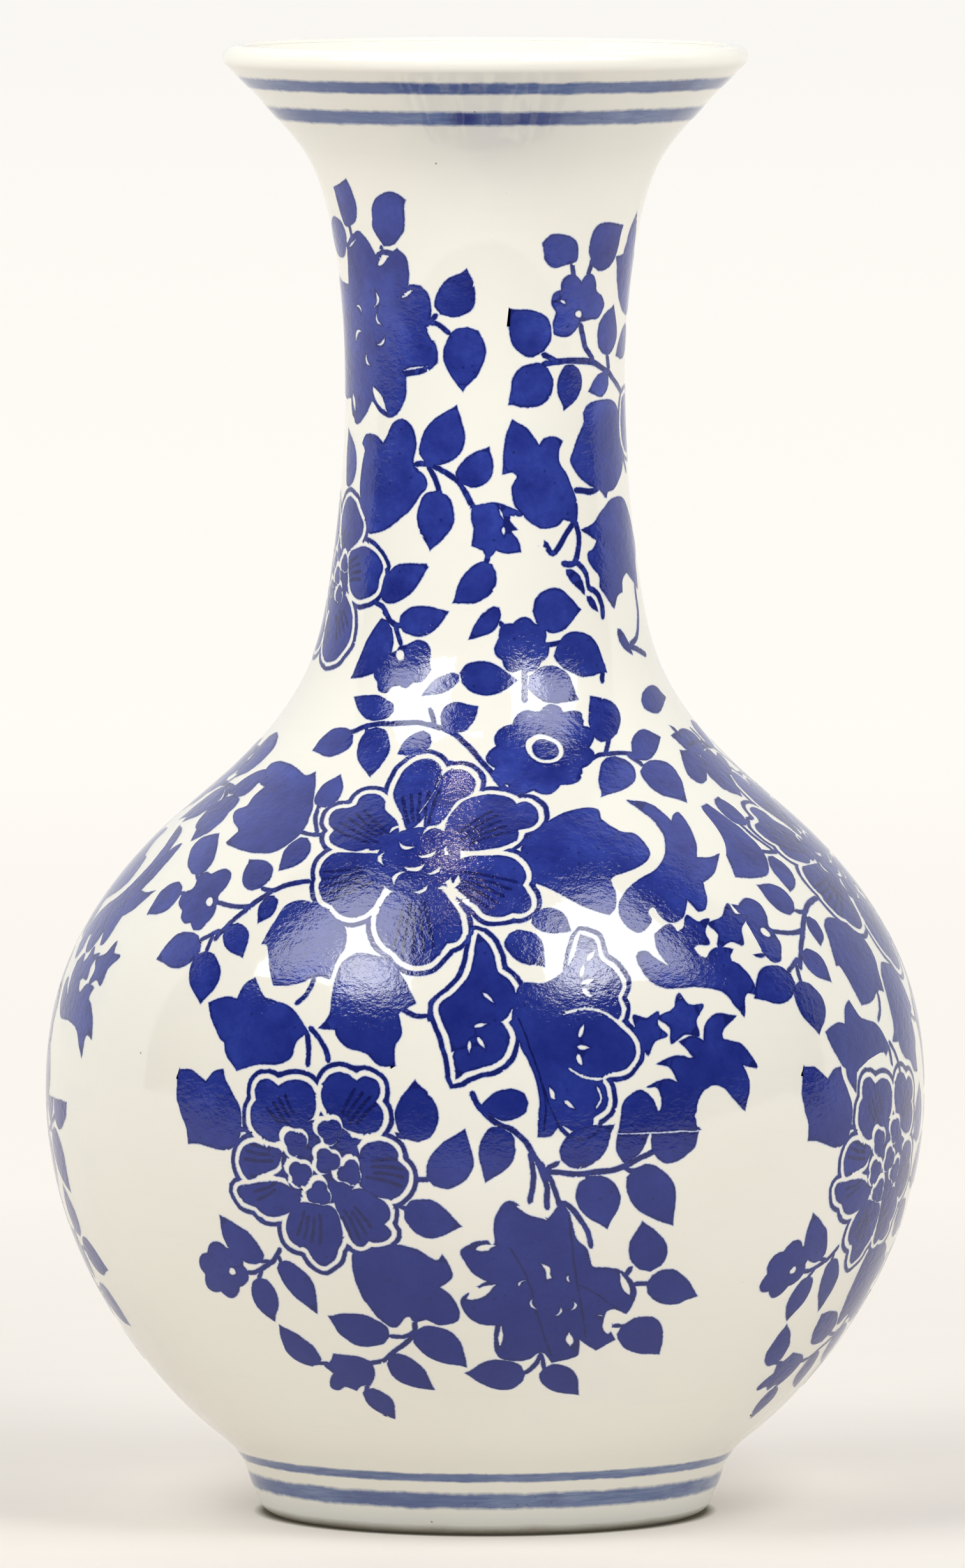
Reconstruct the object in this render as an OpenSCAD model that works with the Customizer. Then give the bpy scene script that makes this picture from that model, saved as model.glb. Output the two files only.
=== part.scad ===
// Bottle vase in blue and white porcelain.
// Five thrown sections, luted together with stepped joints, carry four painted cobalt
// lines and seven sheets of transfer decoration. Everything is turned about the Z axis,
// and the vase stands on Z = 0.

/* [Body] */
// Height of the whole vase
vase_h = 340; // [330:1:350]
// Diameter of the body at its widest
belly_d = 204; // [190:1:216]
// Diameter of the foot where it stands
foot_d = 101; // [92:1:108]

/* [Neck and mouth] */
// Diameter of the neck at its narrowest
neck_d = 64.6; // [58:0.2:72]
// Diameter of the mouth over its rolled lip
mouth_d = 121.4; // [112:0.2:130]
// Lean of the flare under the lip, away from upright
flare_angle = 47; // [38:1:54]

/* [Walls] */
// Thickness of the clay near the foot
wall_low = 8; // [6:0.5:10]
// Thickness of the clay at the belly
wall_belly = 6; // [4.5:0.5:8]
// Thickness of the clay in the neck
wall_neck = 5; // [4:0.5:7]
// Thickness of the lip
lip_t = 5.6; // [4.5:0.1:7]
// Height of the turned hollow under the base
base_recess_h = 10; // [8:0.5:11]
// Thickness of the vase's floor
floor_t = 8; // [6:0.5:12]
// Width of the ring that the vase stands on
foot_ring_w = 6.5; // [5:0.5:9]

/* [Luted joints] */
// Height of the joint between the foot ring and the body
foot_joint_z = 12; // [11.5:0.5:13]
// Height of the joint at the belly
belly_joint_z = 98; // [90:1:110]
// Height of the joint at the root of the neck
neck_joint_z = 196; // [190:1:204]
// Height of the joint under the mouth
mouth_joint_z = 300; // [290:1:306]
// How far each tongue reaches into the section above it
tongue_h = 4; // [3:0.5:6]

/* [Decoration] */
// Thickness of a painted line or a transfer sheet
skin_t = 0.12; // [0.1:0.02:0.3]
// Angle left bare between neighbouring transfer sheets
sheet_gap = 2; // [1:1:8]
// Turn of the first body sheet about the vase
body_sheet_turn = -12; // [-45:1:45]
// Turn of the first neck sheet about the vase
neck_sheet_turn = -45; // [-60:1:45]

/* [Hidden] */
$fn = 180;

belly_r = belly_d / 2;
neck_r = neck_d / 2;
mouth_r = mouth_d / 2;
foot_r = foot_d / 2;
lip_r = lip_t / 2;
edge_r = 1.2;
steps_per_span = 8;
lip_steps = 14;

// Heights of the painted lines: [lowest, highest].
foot_line_lower_z = [6.8, 9.6];
foot_line_upper_z = [13.4, 15.2];
mouth_line_lower_z = [323.2, 325.8];
mouth_line_upper_z = [330.4, 332.6];
// Transfer sheets round the body and round the neck, and the heights that they cover.
body_sheets = 4;
neck_sheets = 3;
body_sheet_z = [26, 194];
neck_sheet_z = [195, 311];

// Heights at which the wall's thickness is given.
wall_stations = [
    [0, wall_low], [40, wall_low], [belly_joint_z, wall_belly], [neck_joint_z, wall_neck],
    [mouth_joint_z, wall_neck], [vase_h, lip_t]
];

// The silhouette is one smooth B-spline. Its stations are [radius, height].
foot_stations = [
    [foot_r + edge_r, edge_r], [foot_r + 2.8, 4.5], [foot_r + 4.4, 9], [foot_r + 5.5, 12.6]
];
body_stations = [
    for (s = [
        [0.58, 16.6], [0.65, 21.8], [0.765, 34], [0.873, 50], [0.953, 67.5], [0.997, 87], [1, 107.5],
        [0.961, 127], [0.855, 145.5], [0.724, 160], [0.575, 172], [0.458, 185], [0.38, 199]
    ]) [s[0] * belly_r, s[1]]
];
neck_stations = [
    for (s = [[1.1, 217], [1.031, 236], [0.997, 255], [1, 272], [1.04, 288], [1.127, 303], [1.245, 314.2]])
        [s[0] * neck_r, s[1]]
];
// The flare meets the rolled lip along the lip's own tangent.
lip_centre = [mouth_r - lip_r, vase_h - lip_r];
flare_end = lip_centre + lip_r * [cos(flare_angle), -sin(flare_angle)];
flare_run = 6.6 * [sin(flare_angle), cos(flare_angle)];
mouth_stations = [[0.785 * mouth_r, vase_h - 17.4], flare_end - flare_run, flare_end];
stations = concat(foot_stations, body_stations, neck_stations, mouth_stations);

// Uniform cubic B-spline through a run of stations, mirrored past both ends.
last_station = len(stations) - 1;
guide = concat(
    [2 * stations[0] - stations[1]],
    stations,
    [2 * stations[last_station] - stations[last_station - 1]]
);
function blend(a, b, c, d, t) = (
    a * pow(1 - t, 3)
    + b * (3 * pow(t, 3) - 6 * t * t + 4)
    + c * (3 * t - 3 * pow(t, 3) + 3 * t * t + 1)
    + d * pow(t, 3)
) / 6;
outer = [
    for (i = [0 : len(guide) - 4], k = [0 : steps_per_span - 1])
        blend(guide[i], guide[i + 1], guide[i + 2], guide[i + 3], k / steps_per_span),
    flare_end
];

// Unit vectors along the silhouette and out of it, at each of its points.
last = len(outer) - 1;
function unit(v) = v / norm(v);
function outward(i) = let (t = unit(outer[min(i + 1, last)] - outer[max(i - 1, 0)])) [t[1], -t[0]];
function inset(i, depth) = outer[i] - depth * outward(i);
function wall_at(z) = lookup(z, wall_stations);

mid = [for (i = [0 : last]) inset(i, wall_at(outer[i][1]) / 2)];
inner = [for (i = [0 : last]) inset(i, wall_at(outer[i][1]))];

// Index of the first silhouette point at or above a height.
function index_at(z) = len([for (p = outer) if (p[1] < z) 1]);
// Point on the silhouette at an exact height.
function point_at(z) = let (i = index_at(z), a = outer[i - 1], b = outer[i])
    a + (b - a) * (z - a[1]) / (b[1] - a[1]);
function run(list, from, to) = [for (i = [from : to]) list[i]];
function backward(list) = [for (i = [len(list) - 1 : -1 : 0]) list[i]];

// A section of wall between two luted joints. The tongue at each joint is its inner half.
module wall_section(from_z, to_z) {
    a = index_at(from_z);
    b = index_at(to_z);
    a_top = index_at(from_z + tongue_h);
    b_top = index_at(to_z + tongue_h);
    rotate_extrude()
        polygon(concat(
            run(outer, a, b),
            run(mid, b, b_top),
            backward(run(inner, a_top, b_top)),
            backward(run(mid, a, a_top))
        ));
}

// A skin on the wall's outside, between two heights, thickest away from its edges.
function skin_outline(z_low, z_high) = let (
    a = index_at(z_low),
    b = index_at(z_high) - 1,
    low = point_at(z_low),
    high = point_at(z_high)
) concat(
    [low], run(outer, a, b), [high],
    [high + skin_t * outward(b)],
    backward([for (i = [a : b]) inset(i, -skin_t)]),
    [low + skin_t * outward(a)]
);

module painted_line(z) {
    color("steelblue") rotate_extrude() polygon(skin_outline(z[0], z[1]));
}

// One of the equal sheets that cover a band of the wall. A turn of 0 faces the front, -Y.
module transfer_sheet(number, sheets, turn, z) {
    pitch = 360 / sheets;
    sweep = pitch - sheet_gap;
    color("mediumblue")
        rotate([0, 0, turn - 90 + (number - 1) * pitch - sweep / 2])
            rotate_extrude(angle = sweep)
                polygon(skin_outline(z[0], z[1]));
}

// The foot ring stands on its turned edge and holds the body's spigot in a rebate.
joint_r = outer[index_at(foot_joint_z)][0];
joint_z = outer[index_at(foot_joint_z)][1];
recess_r = foot_r - foot_ring_w;
spigot_r = recess_r + (joint_r - recess_r) / 2;
foot_edge = [
    for (a = [-90 : 15 : -45]) [foot_r, edge_r] + edge_r * [cos(a), sin(a)]
];
recess_edge = [
    for (a = [180 : 15 : 270]) [recess_r + edge_r, edge_r] + edge_r * [cos(a), sin(a)]
];

module foot_ring() {
    color("ivory")
        rotate_extrude()
            polygon(concat(
                recess_edge,
                foot_edge,
                run(outer, 0, index_at(foot_joint_z)),
                [[spigot_r, joint_z], [spigot_r, base_recess_h], [recess_r, base_recess_h]]
            ));
}

// The lower body is a bowl. Its floor reaches down into the foot ring.
module lower_body() {
    a = index_at(foot_joint_z);
    b = index_at(belly_joint_z);
    b_top = index_at(belly_joint_z + tongue_h);
    floor_z = base_recess_h + floor_t;
    hollow_from = len([for (p = inner) if (p[1] < floor_z + 4) 1]);
    color("ivory")
        rotate_extrude()
            polygon(concat(
                [[0, base_recess_h], [spigot_r, base_recess_h], [spigot_r, joint_z]],
                run(outer, a, b),
                run(mid, b, b_top),
                backward(run(inner, hollow_from, b_top)),
                [inner[hollow_from] - [5, 2.6], inner[hollow_from] - [12, 3.7], [0, floor_z]]
            ));
}

module upper_body() {
    color("ivory") wall_section(belly_joint_z, neck_joint_z);
}

module neck() {
    color("ivory") wall_section(neck_joint_z, mouth_joint_z);
}

// The mouth rim flares to a lip that is rolled through a half circle.
module mouth_rim() {
    a = index_at(mouth_joint_z);
    a_top = index_at(mouth_joint_z + tongue_h);
    roll = [
        for (k = [1 : lip_steps - 1])
            let (angle = -flare_angle + 180 * k / lip_steps)
                lip_centre + lip_r * [cos(angle), sin(angle)]
    ];
    color("ivory")
        rotate_extrude()
            polygon(concat(
                run(outer, a, last),
                roll,
                backward(run(inner, a_top, last)),
                backward(run(mid, a, a_top))
            ));
}

module foot_line_lower() { painted_line(foot_line_lower_z); }
module foot_line_upper() { painted_line(foot_line_upper_z); }
module mouth_line_lower() { painted_line(mouth_line_lower_z); }
module mouth_line_upper() { painted_line(mouth_line_upper_z); }

foot_ring();
lower_body();
upper_body();
neck();
mouth_rim();
foot_line_lower();
foot_line_upper();
mouth_line_lower();
mouth_line_upper();
for (n = [1 : body_sheets])
    transfer_sheet(n, body_sheets, body_sheet_turn, body_sheet_z);
for (n = [1 : neck_sheets])
    transfer_sheet(n, neck_sheets, neck_sheet_turn, neck_sheet_z);
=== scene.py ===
"""Looks of the blue and white bottle vase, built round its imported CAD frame.

The clay is turned again from the same silhouette as the CAD, with more points.
Each sheet of printed decoration is laid out flat, in millimetres: x runs round the
wall from the sheet's middle, and y runs up the wall from the foot. The layout is then
cut into triangles and wrapped on the wall.
"""

import math

import bpy
import numpy as np
from mathutils import Matrix, Vector, noise
from mathutils.geometry import delaunay_2d_cdt


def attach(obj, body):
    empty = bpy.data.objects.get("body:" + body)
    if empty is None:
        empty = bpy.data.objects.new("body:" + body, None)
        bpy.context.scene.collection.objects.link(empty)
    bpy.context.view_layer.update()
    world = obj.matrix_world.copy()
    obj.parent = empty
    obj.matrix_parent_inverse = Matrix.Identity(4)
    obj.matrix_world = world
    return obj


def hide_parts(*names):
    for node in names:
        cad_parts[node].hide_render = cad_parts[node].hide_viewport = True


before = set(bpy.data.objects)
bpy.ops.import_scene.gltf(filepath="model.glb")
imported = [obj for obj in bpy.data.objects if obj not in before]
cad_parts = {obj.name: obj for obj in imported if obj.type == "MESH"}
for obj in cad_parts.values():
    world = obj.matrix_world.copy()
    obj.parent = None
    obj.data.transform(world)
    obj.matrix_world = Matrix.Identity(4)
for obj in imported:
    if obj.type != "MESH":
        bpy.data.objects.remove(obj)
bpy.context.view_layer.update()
MM = 0.001
COLLECTION = bpy.context.scene.collection

# ---------------------------------------------------------------- the wall, in millimetres

VASE_H = 340.0
BELLY_R = 102.0
NECK_R = 32.3
MOUTH_R = 60.7
RECESS_R = 44.0
EDGE_R = 1.2
LIP_R = 2.8
# The trumpet leans out by this many degrees under the lip, where it runs straight for a little.
FLARE_LEAN = 47
FLARE_RUN = 6.6
FLARE = math.radians(FLARE_LEAN)
THROAT_R, THROAT_DROP = 0.785 * MOUTH_R, 17.4
BASE_RECESS_H = 10.0
FLOOR_TOP = 18.0
FOOT_JOINT, BELLY_JOINT, NECK_JOINT, MOUTH_JOINT = 12.0, 98.0, 196.0, 300.0
TONGUE = 4.0
# The thickness of the clay at a few heights.
WALL_Z = [0, 40, 98, 196, 300, 340]
WALL_T = [8, 8, 6, 5, 5, 5.6]
# How finely the pieces are made: steps round the vase, steps between two stations, and lengths up the wall.
TURN_STEPS = 288
SPLINE_STEPS = 24
SKIN_STEP = 1.3
INNER_STEP = 4.0
LIP_INNER_STEP = 2.0
SHARP = math.radians(35)
ON_AXIS = 1e-6
TINY = 1e-9

# Radius and height of the stations that the outside is drawn through.
foot_stations = [(51.7, 1.2), (53.3, 4.5), (54.9, 9), (56, 12.6)]
body_stations = [
    (share * BELLY_R, z)
    for share, z in [
        (0.58, 16.6), (0.65, 21.8), (0.765, 34), (0.873, 50), (0.953, 67.5), (0.997, 87), (1, 107.5),
        (0.961, 127), (0.855, 145.5), (0.724, 160), (0.575, 172), (0.458, 185), (0.38, 199),
    ]
]
neck_stations = [
    (share * NECK_R, z)
    for share, z in [
        (1.1, 217), (1.031, 236), (0.997, 255), (1, 272), (1.04, 288), (1.127, 303), (1.245, 314.2),
    ]
]
lip_centre = np.array([MOUTH_R - LIP_R, VASE_H - LIP_R])
flare_end = lip_centre + LIP_R * np.array([math.cos(FLARE), -math.sin(FLARE)])
flare_run = FLARE_RUN * np.array([math.sin(FLARE), math.cos(FLARE)])
mouth_stations = [(THROAT_R, VASE_H - THROAT_DROP), tuple(flare_end - flare_run), tuple(flare_end)]
stations = np.array(foot_stations + body_stations + neck_stations + mouth_stations, float)


def spline(points):
    """Uniform cubic B-spline through a run of stations, mirrored past both ends."""
    guide = np.vstack([2 * points[0] - points[1], points, 2 * points[-1] - points[-2]])
    t = (np.arange(SPLINE_STEPS) / SPLINE_STEPS)[:, None]
    spans = [
        (guide[i] * (1 - t) ** 3 + guide[i + 1] * (3 * t**3 - 6 * t**2 + 4)
         + guide[i + 2] * (3 * t + 3 * t**2 - 3 * t**3 + 1) + guide[i + 3] * t**3) / 6
        for i in range(len(guide) - 3)
    ]
    return np.vstack(spans + [points[-1:]])


OUTER = spline(stations)
ARC = np.concatenate([[0], np.cumsum(np.hypot(*np.diff(OUTER, axis=0).T))])
TANGENT = np.gradient(OUTER, ARC, axis=0)
TANGENT /= np.hypot(TANGENT[:, 0], TANGENT[:, 1])[:, None]


def arc_at(z):
    """How far up the wall, along its outside, a height lies."""
    return np.interp(z, OUTER[:, 1], ARC)


def wall_at(s):
    """Radius, height and outward direction (radial, upward) of the wall's outside at arc length s."""
    r, z = np.interp(s, ARC, OUTER[:, 0]), np.interp(s, ARC, OUTER[:, 1])
    tr, tz = np.interp(s, ARC, TANGENT[:, 0]), np.interp(s, ARC, TANGENT[:, 1])
    size = np.hypot(tr, tz)
    return r, z, tz / size, -tr / size


def on_wall(turn, x, s, lift):
    """Places and outward directions, in metres, of flat points (x, s) of a sheet that faces turn degrees."""
    r, z, nr, nz = wall_at(s)
    a = math.radians(turn) + x / r
    sin, cos = np.sin(a), np.cos(a)
    place = np.stack([(r + lift * nr) * sin, -(r + lift * nr) * cos, z + lift * nz], -1) * MM
    return place, np.stack([nr * sin, -nr * cos, nz], -1)


# ---------------------------------------------------------------- turned pieces

def finished(name, mesh, node, material):
    """Makes a mesh a piece that rides on the vase's one body, in place of its CAD node."""
    obj = bpy.data.objects.new(name, mesh)
    COLLECTION.objects.link(obj)
    mesh.materials.append(material)
    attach(obj, "root")
    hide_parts(node)


def turned(name, loop, node, material):
    """A solid of revolution.

    loop runs round its section. A point is (r, z) or, on the glazed skin, (r, z, nr, nz).
    """
    rows, corners = [], []
    angles = 2 * math.pi * np.arange(TURN_STEPS) / TURN_STEPS
    sin, cos = np.sin(angles), np.cos(angles)
    for p in loop:
        start = len(corners)
        if p[0] < ON_AXIS:
            corners.append((0.0, 0.0, p[1]))
            rows.append([start] * TURN_STEPS)
        else:
            corners.extend(zip(p[0] * sin, -p[0] * cos, [p[1]] * TURN_STEPS))
            rows.append(list(range(start, start + TURN_STEPS)))
    faces, normals = [], []
    for i, low in enumerate(rows):
        high, p, q = rows[(i + 1) % len(rows)], loop[i], loop[(i + 1) % len(rows)]
        if p[0] < ON_AXIS and q[0] < ON_AXIS:
            continue
        skin = len(p) > 2 and len(q) > 2
        for k in range(TURN_STEPS):
            m = (k + 1) % TURN_STEPS
            around = [(low[k], p, k), (low[m], p, m), (high[m], q, m), (high[k], q, k)]
            around = [c for j, c in enumerate(around) if c[0] != around[j - 1][0]]
            faces.append([c[0] for c in around])
            for _, c, a in around:
                normals.append((c[2] * sin[a], -c[2] * cos[a], c[3]) if skin else (0.0, 0.0, 0.0))
    mesh = bpy.data.meshes.new(name)
    mesh.from_pydata([Vector(c) * MM for c in corners], [], faces)
    mesh.shade_smooth()
    mesh.set_sharp_from_angle(angle=SHARP)
    mesh.normals_split_custom_set(normals)
    finished(name, mesh, node, material)


def skin_between(z_low, z_high):
    """The glazed outside between two heights, with its outward directions."""
    s = np.linspace(arc_at(z_low), arc_at(z_high), max(4, round((z_high - z_low) / SKIN_STEP)))
    return [tuple(float(v) for v in p) for p in zip(*wall_at(s))]


def depth_between(z_low, z_high, share, step=INNER_STEP):
    """A line inside the clay, at a share of the wall's thickness under its outside."""
    s = np.linspace(arc_at(z_low), arc_at(z_high), max(2, round((z_high - z_low) / step)))
    r, z, nr, nz = wall_at(s)
    t = np.interp(z, WALL_Z, WALL_T) * share
    return [(float(a), float(b)) for a, b in zip(r - t * nr, z - t * nz)]


def wall_loop(z_low, z_high):
    """Section of wall between two luted joints, with its tongue above and its rebate below."""
    return (
        skin_between(z_low, z_high)
        + depth_between(z_high, z_high + TONGUE, 0.5)
        + depth_between(z_low + TONGUE, z_high + TONGUE, 1)[::-1]
        + depth_between(z_low, z_low + TONGUE, 0.5)[::-1]
    )


def arc_points(centre, radius, start, end, count, skin=True):
    """An arc of a section between two directions in degrees, with its outward directions on the skin."""
    out = []
    for a in np.radians(np.linspace(start, end, count)):
        c, s = math.cos(a), math.sin(a)
        out.append((centre[0] + radius * c, centre[1] + radius * s) + ((c, s) if skin else ()))
    return out


# ---------------------------------------------------------------- drawing on the flat sheet

OUTLINE_STEP = 0.7
STROKE_STEP = 0.9
RING_STEP = 0.6
# The end of a leaf keeps at least this half width, from this share of its length on.
NUB = 0.32
NUB_FROM = 0.88
# A moved outline drops the points that come nearer to the old one than this share of the move.
NOTCH = 0.96
STAR_ARMS = 5
STAR_WAIST = 0.58
VEIN_W, VEIN_TAPER = 0.85, 0.2
# A clover has three lobes this deep. Its blue heart is smaller by its line and sits a little to one side.
CLOVER_LOBES, CLOVER_DEPTH = 3, 0.3
CLOVER_LINE, CLOVER_SHIFT = 1.15, 0.5
CRESCENT = [(0, -1.7, 0), (1.2, -0.9), (1.4, 0.6), (0, 1.7, 0), (0.5, 0.3), (0.5, -0.7)]


def smooth(points, closed=True, step=OUTLINE_STEP):
    """Catmull-Rom curve through placed points. A third value marks a sharp corner."""
    n = len(points)
    out = []
    for i in range(n if closed else n - 1):
        a, b = points[i], points[(i + 1) % n]
        before = a if len(a) > 2 or (not closed and i == 0) else points[i - 1]
        after = b if len(b) > 2 or (not closed and i == n - 2) else points[(i + 2) % n]
        count = max(1, math.ceil(math.dist(a[:2], b[:2]) / step))
        for k in range(count):
            t = k / count
            out.append(tuple(
                0.5 * (2 * a[c] + (b[c] - before[c]) * t
                       + (2 * before[c] - 5 * a[c] + 4 * b[c] - after[c]) * t * t
                       + (3 * a[c] - before[c] - 3 * b[c] + after[c]) * t**3)
                for c in (0, 1)
            ))
    return out if closed else out + [tuple(points[-1][:2])]


def placed(outline, x, y, turn=0.0, size=1.0):
    """The outline sized, turned by some degrees and moved."""
    c, s = math.cos(math.radians(turn)) * size, math.sin(math.radians(turn)) * size
    return [(x + c * p[0] - s * p[1], y + s * p[0] + c * p[1]) + tuple(p[2:]) for p in outline]


def leaf(x0, y0, x1, y1, w, bow=0.0, point=1.1, blunt=0.5):
    """Oval leaf from its stalk to its tip. bow bends it to the left."""
    length = math.dist((x0, y0), (x1, y1))
    n = max(7, round(length / OUTLINE_STEP))
    left, right = [], []
    for k in range(n + 1):
        t = k / n
        half = 0.5 * w * math.sin(math.pi * t**0.8) ** (blunt + (point - blunt) * t) if 0 < k < n else 0
        half = max(half, NUB * (t > NUB_FROM)) if k < n else 0
        u, v = t * length, bow * length * 4 * t * (1 - t)
        left.append((u, v + half))
        right.append((u, v - half))
    return placed(left + right[-2:0:-1], x0, y0, math.degrees(math.atan2(y1 - y0, x1 - x0)))


def stroke(points, w, taper=0.4):
    """A brushed line of even width, narrower at its two ends."""
    line = smooth(points, closed=False, step=STROKE_STEP)
    left, right = [], []
    for i, (x, y) in enumerate(line):
        (xa, ya), (xb, yb) = line[max(0, i - 1)], line[min(len(line) - 1, i + 1)]
        d = math.dist((xa, ya), (xb, yb)) or 1
        half = 0.5 * w * (taper if i in (0, len(line) - 1) else 1)
        nx, ny = (ya - yb) / d * half, (xb - xa) / d * half
        left.append((x + nx, y + ny))
        right.append((x - nx, y - ny))
    return left + right[::-1]


def ring(x, y, r, lobes=0, depth=0.0, turn=0.0, squash=1.0, tilt=0.0):
    """Round outline, or one with lobes bumps of the given depth."""
    n = max(12, round(2 * math.pi * r / RING_STEP))
    out = []
    for k in range(n):
        a = 2 * math.pi * k / n
        bump = abs(math.sin(lobes * (a - math.radians(turn)) / 2)) if lobes else 1
        rr = r * (1 - depth + depth * bump)
        out.append((rr * math.cos(a), rr * math.sin(a) * squash))
    return placed(out, x, y, tilt)


def star(x, y, r, turn):
    """Star with rounded tips."""
    out = []
    for k in range(STAR_ARMS * 2):
        a = math.radians(turn) + math.pi * k / STAR_ARMS
        rr = r * (STAR_WAIST if k % 2 else 1)
        out.append((x + rr * math.cos(a), y + rr * math.sin(a)))
    return smooth(out)


def grown(outline, d):
    """The outline moved outwards by d, without the points that a notch would fold back."""
    pts = np.array([p[:2] for p in outline])
    ahead, behind = np.roll(pts, -1, 0), np.roll(pts, 1, 0)
    side = 1 if np.sum(pts[:, 0] * ahead[:, 1] - ahead[:, 0] * pts[:, 1]) > 0 else -1
    along = ahead - behind
    along /= np.maximum(np.hypot(*along.T), TINY)[:, None]
    moved = pts + side * d * np.stack([along[:, 1], -along[:, 0]], -1)
    clear = [np.min(np.hypot(*(pts - m).T)) > NOTCH * d for m in moved]
    return [tuple(m) for m, ok in zip(moved.tolist(), clear) if ok]


class Drawing:
    """Shapes in painter's order: B lays blue, W wipes it off, V darkens blue that is there."""

    def __init__(self):
        self.shapes = []

    def blue(self, group, *outlines):
        self.shapes += [("B", group, o) for o in outlines]

    def white(self, group, *outlines):
        self.shapes += [("W", group, o) for o in outlines]

    def vein(self, group, *outlines):
        self.shapes += [("V", group, o) for o in outlines]

    def filled(self, group, outlines):
        """Lays each of some named outlines in blue."""
        for outline in outlines.values():
            self.blue(group, smooth(outline))

    def stems(self, *rows):
        """Each row is a width and the points that a stem runs through."""
        for w, *points in rows:
            self.blue("stems", stroke(points, w))

    def leaves(self, *rows):
        """Each row is a stalk, a tip, a width and a bow."""
        for row in rows:
            self.blue("leaves", leaf(*row))

    def outlined(self, petals, line, border):
        """Petals inside a white border inside a thin blue line."""
        petals = [smooth(p) for p in petals]
        self.blue("flowers", *[grown(p, line) for p in petals])
        self.white("flowers", *[grown(p, border) for p in petals])
        self.blue("flowers", *petals)

    def petal_veins(self, x, y, turns, start, end, spread, count):
        """A fan of veins in each petal, with uneven ends, as a hand draws them."""
        for turn in turns:
            for k in range(count):
                off = k - (count - 1) / 2
                near = start + (end - start) * 0.18 * abs(math.sin(turn + 5 * k))
                far = end - (end - start) * (0.02 + 0.24 * abs(math.sin(2 * turn + 3 * k)))
                line = [(near, 0), ((near + far) / 2, 0.3), (far, 0)]
                self.vein("flowers", stroke(placed(line, x, y, turn + off * spread), VEIN_W, VEIN_TAPER))

    def crescents(self, *rows):
        """Small white curls: x, y, direction, size."""
        for x, y, turn, size in rows:
            self.white("flowers", smooth(placed(CRESCENT, x, y, turn, size)))

    def slivers(self, *rows):
        """Thin white leaves, pointed at both ends: stalk, tip, width."""
        for x0, y0, x1, y1, w in rows:
            self.white("flowers", leaf(x0, y0, x1, y1, w, point=1.0, blunt=0.9))

    def sprigs(self, *rows):
        """Short white dashes: x, y, direction, length, width."""
        for x, y, turn, length, w in rows:
            (x0, y0), (x1, y1) = placed([(0, 0), (length, 0)], x, y, turn)
            self.white("flowers", leaf(x0, y0, x1, y1, w))

    def clovers(self, r, *rows):
        """White rims round blue hearts: x, y, direction."""
        for x, y, turn in rows:
            shape = (CLOVER_LOBES, CLOVER_DEPTH, turn)
            self.white("flowers", ring(x, y, r, *shape))
            self.blue("flowers", ring(x + CLOVER_SHIFT, y - CLOVER_SHIFT, r - CLOVER_LINE, *shape))


# ---------------------------------------------------------------- the body sheet

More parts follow.
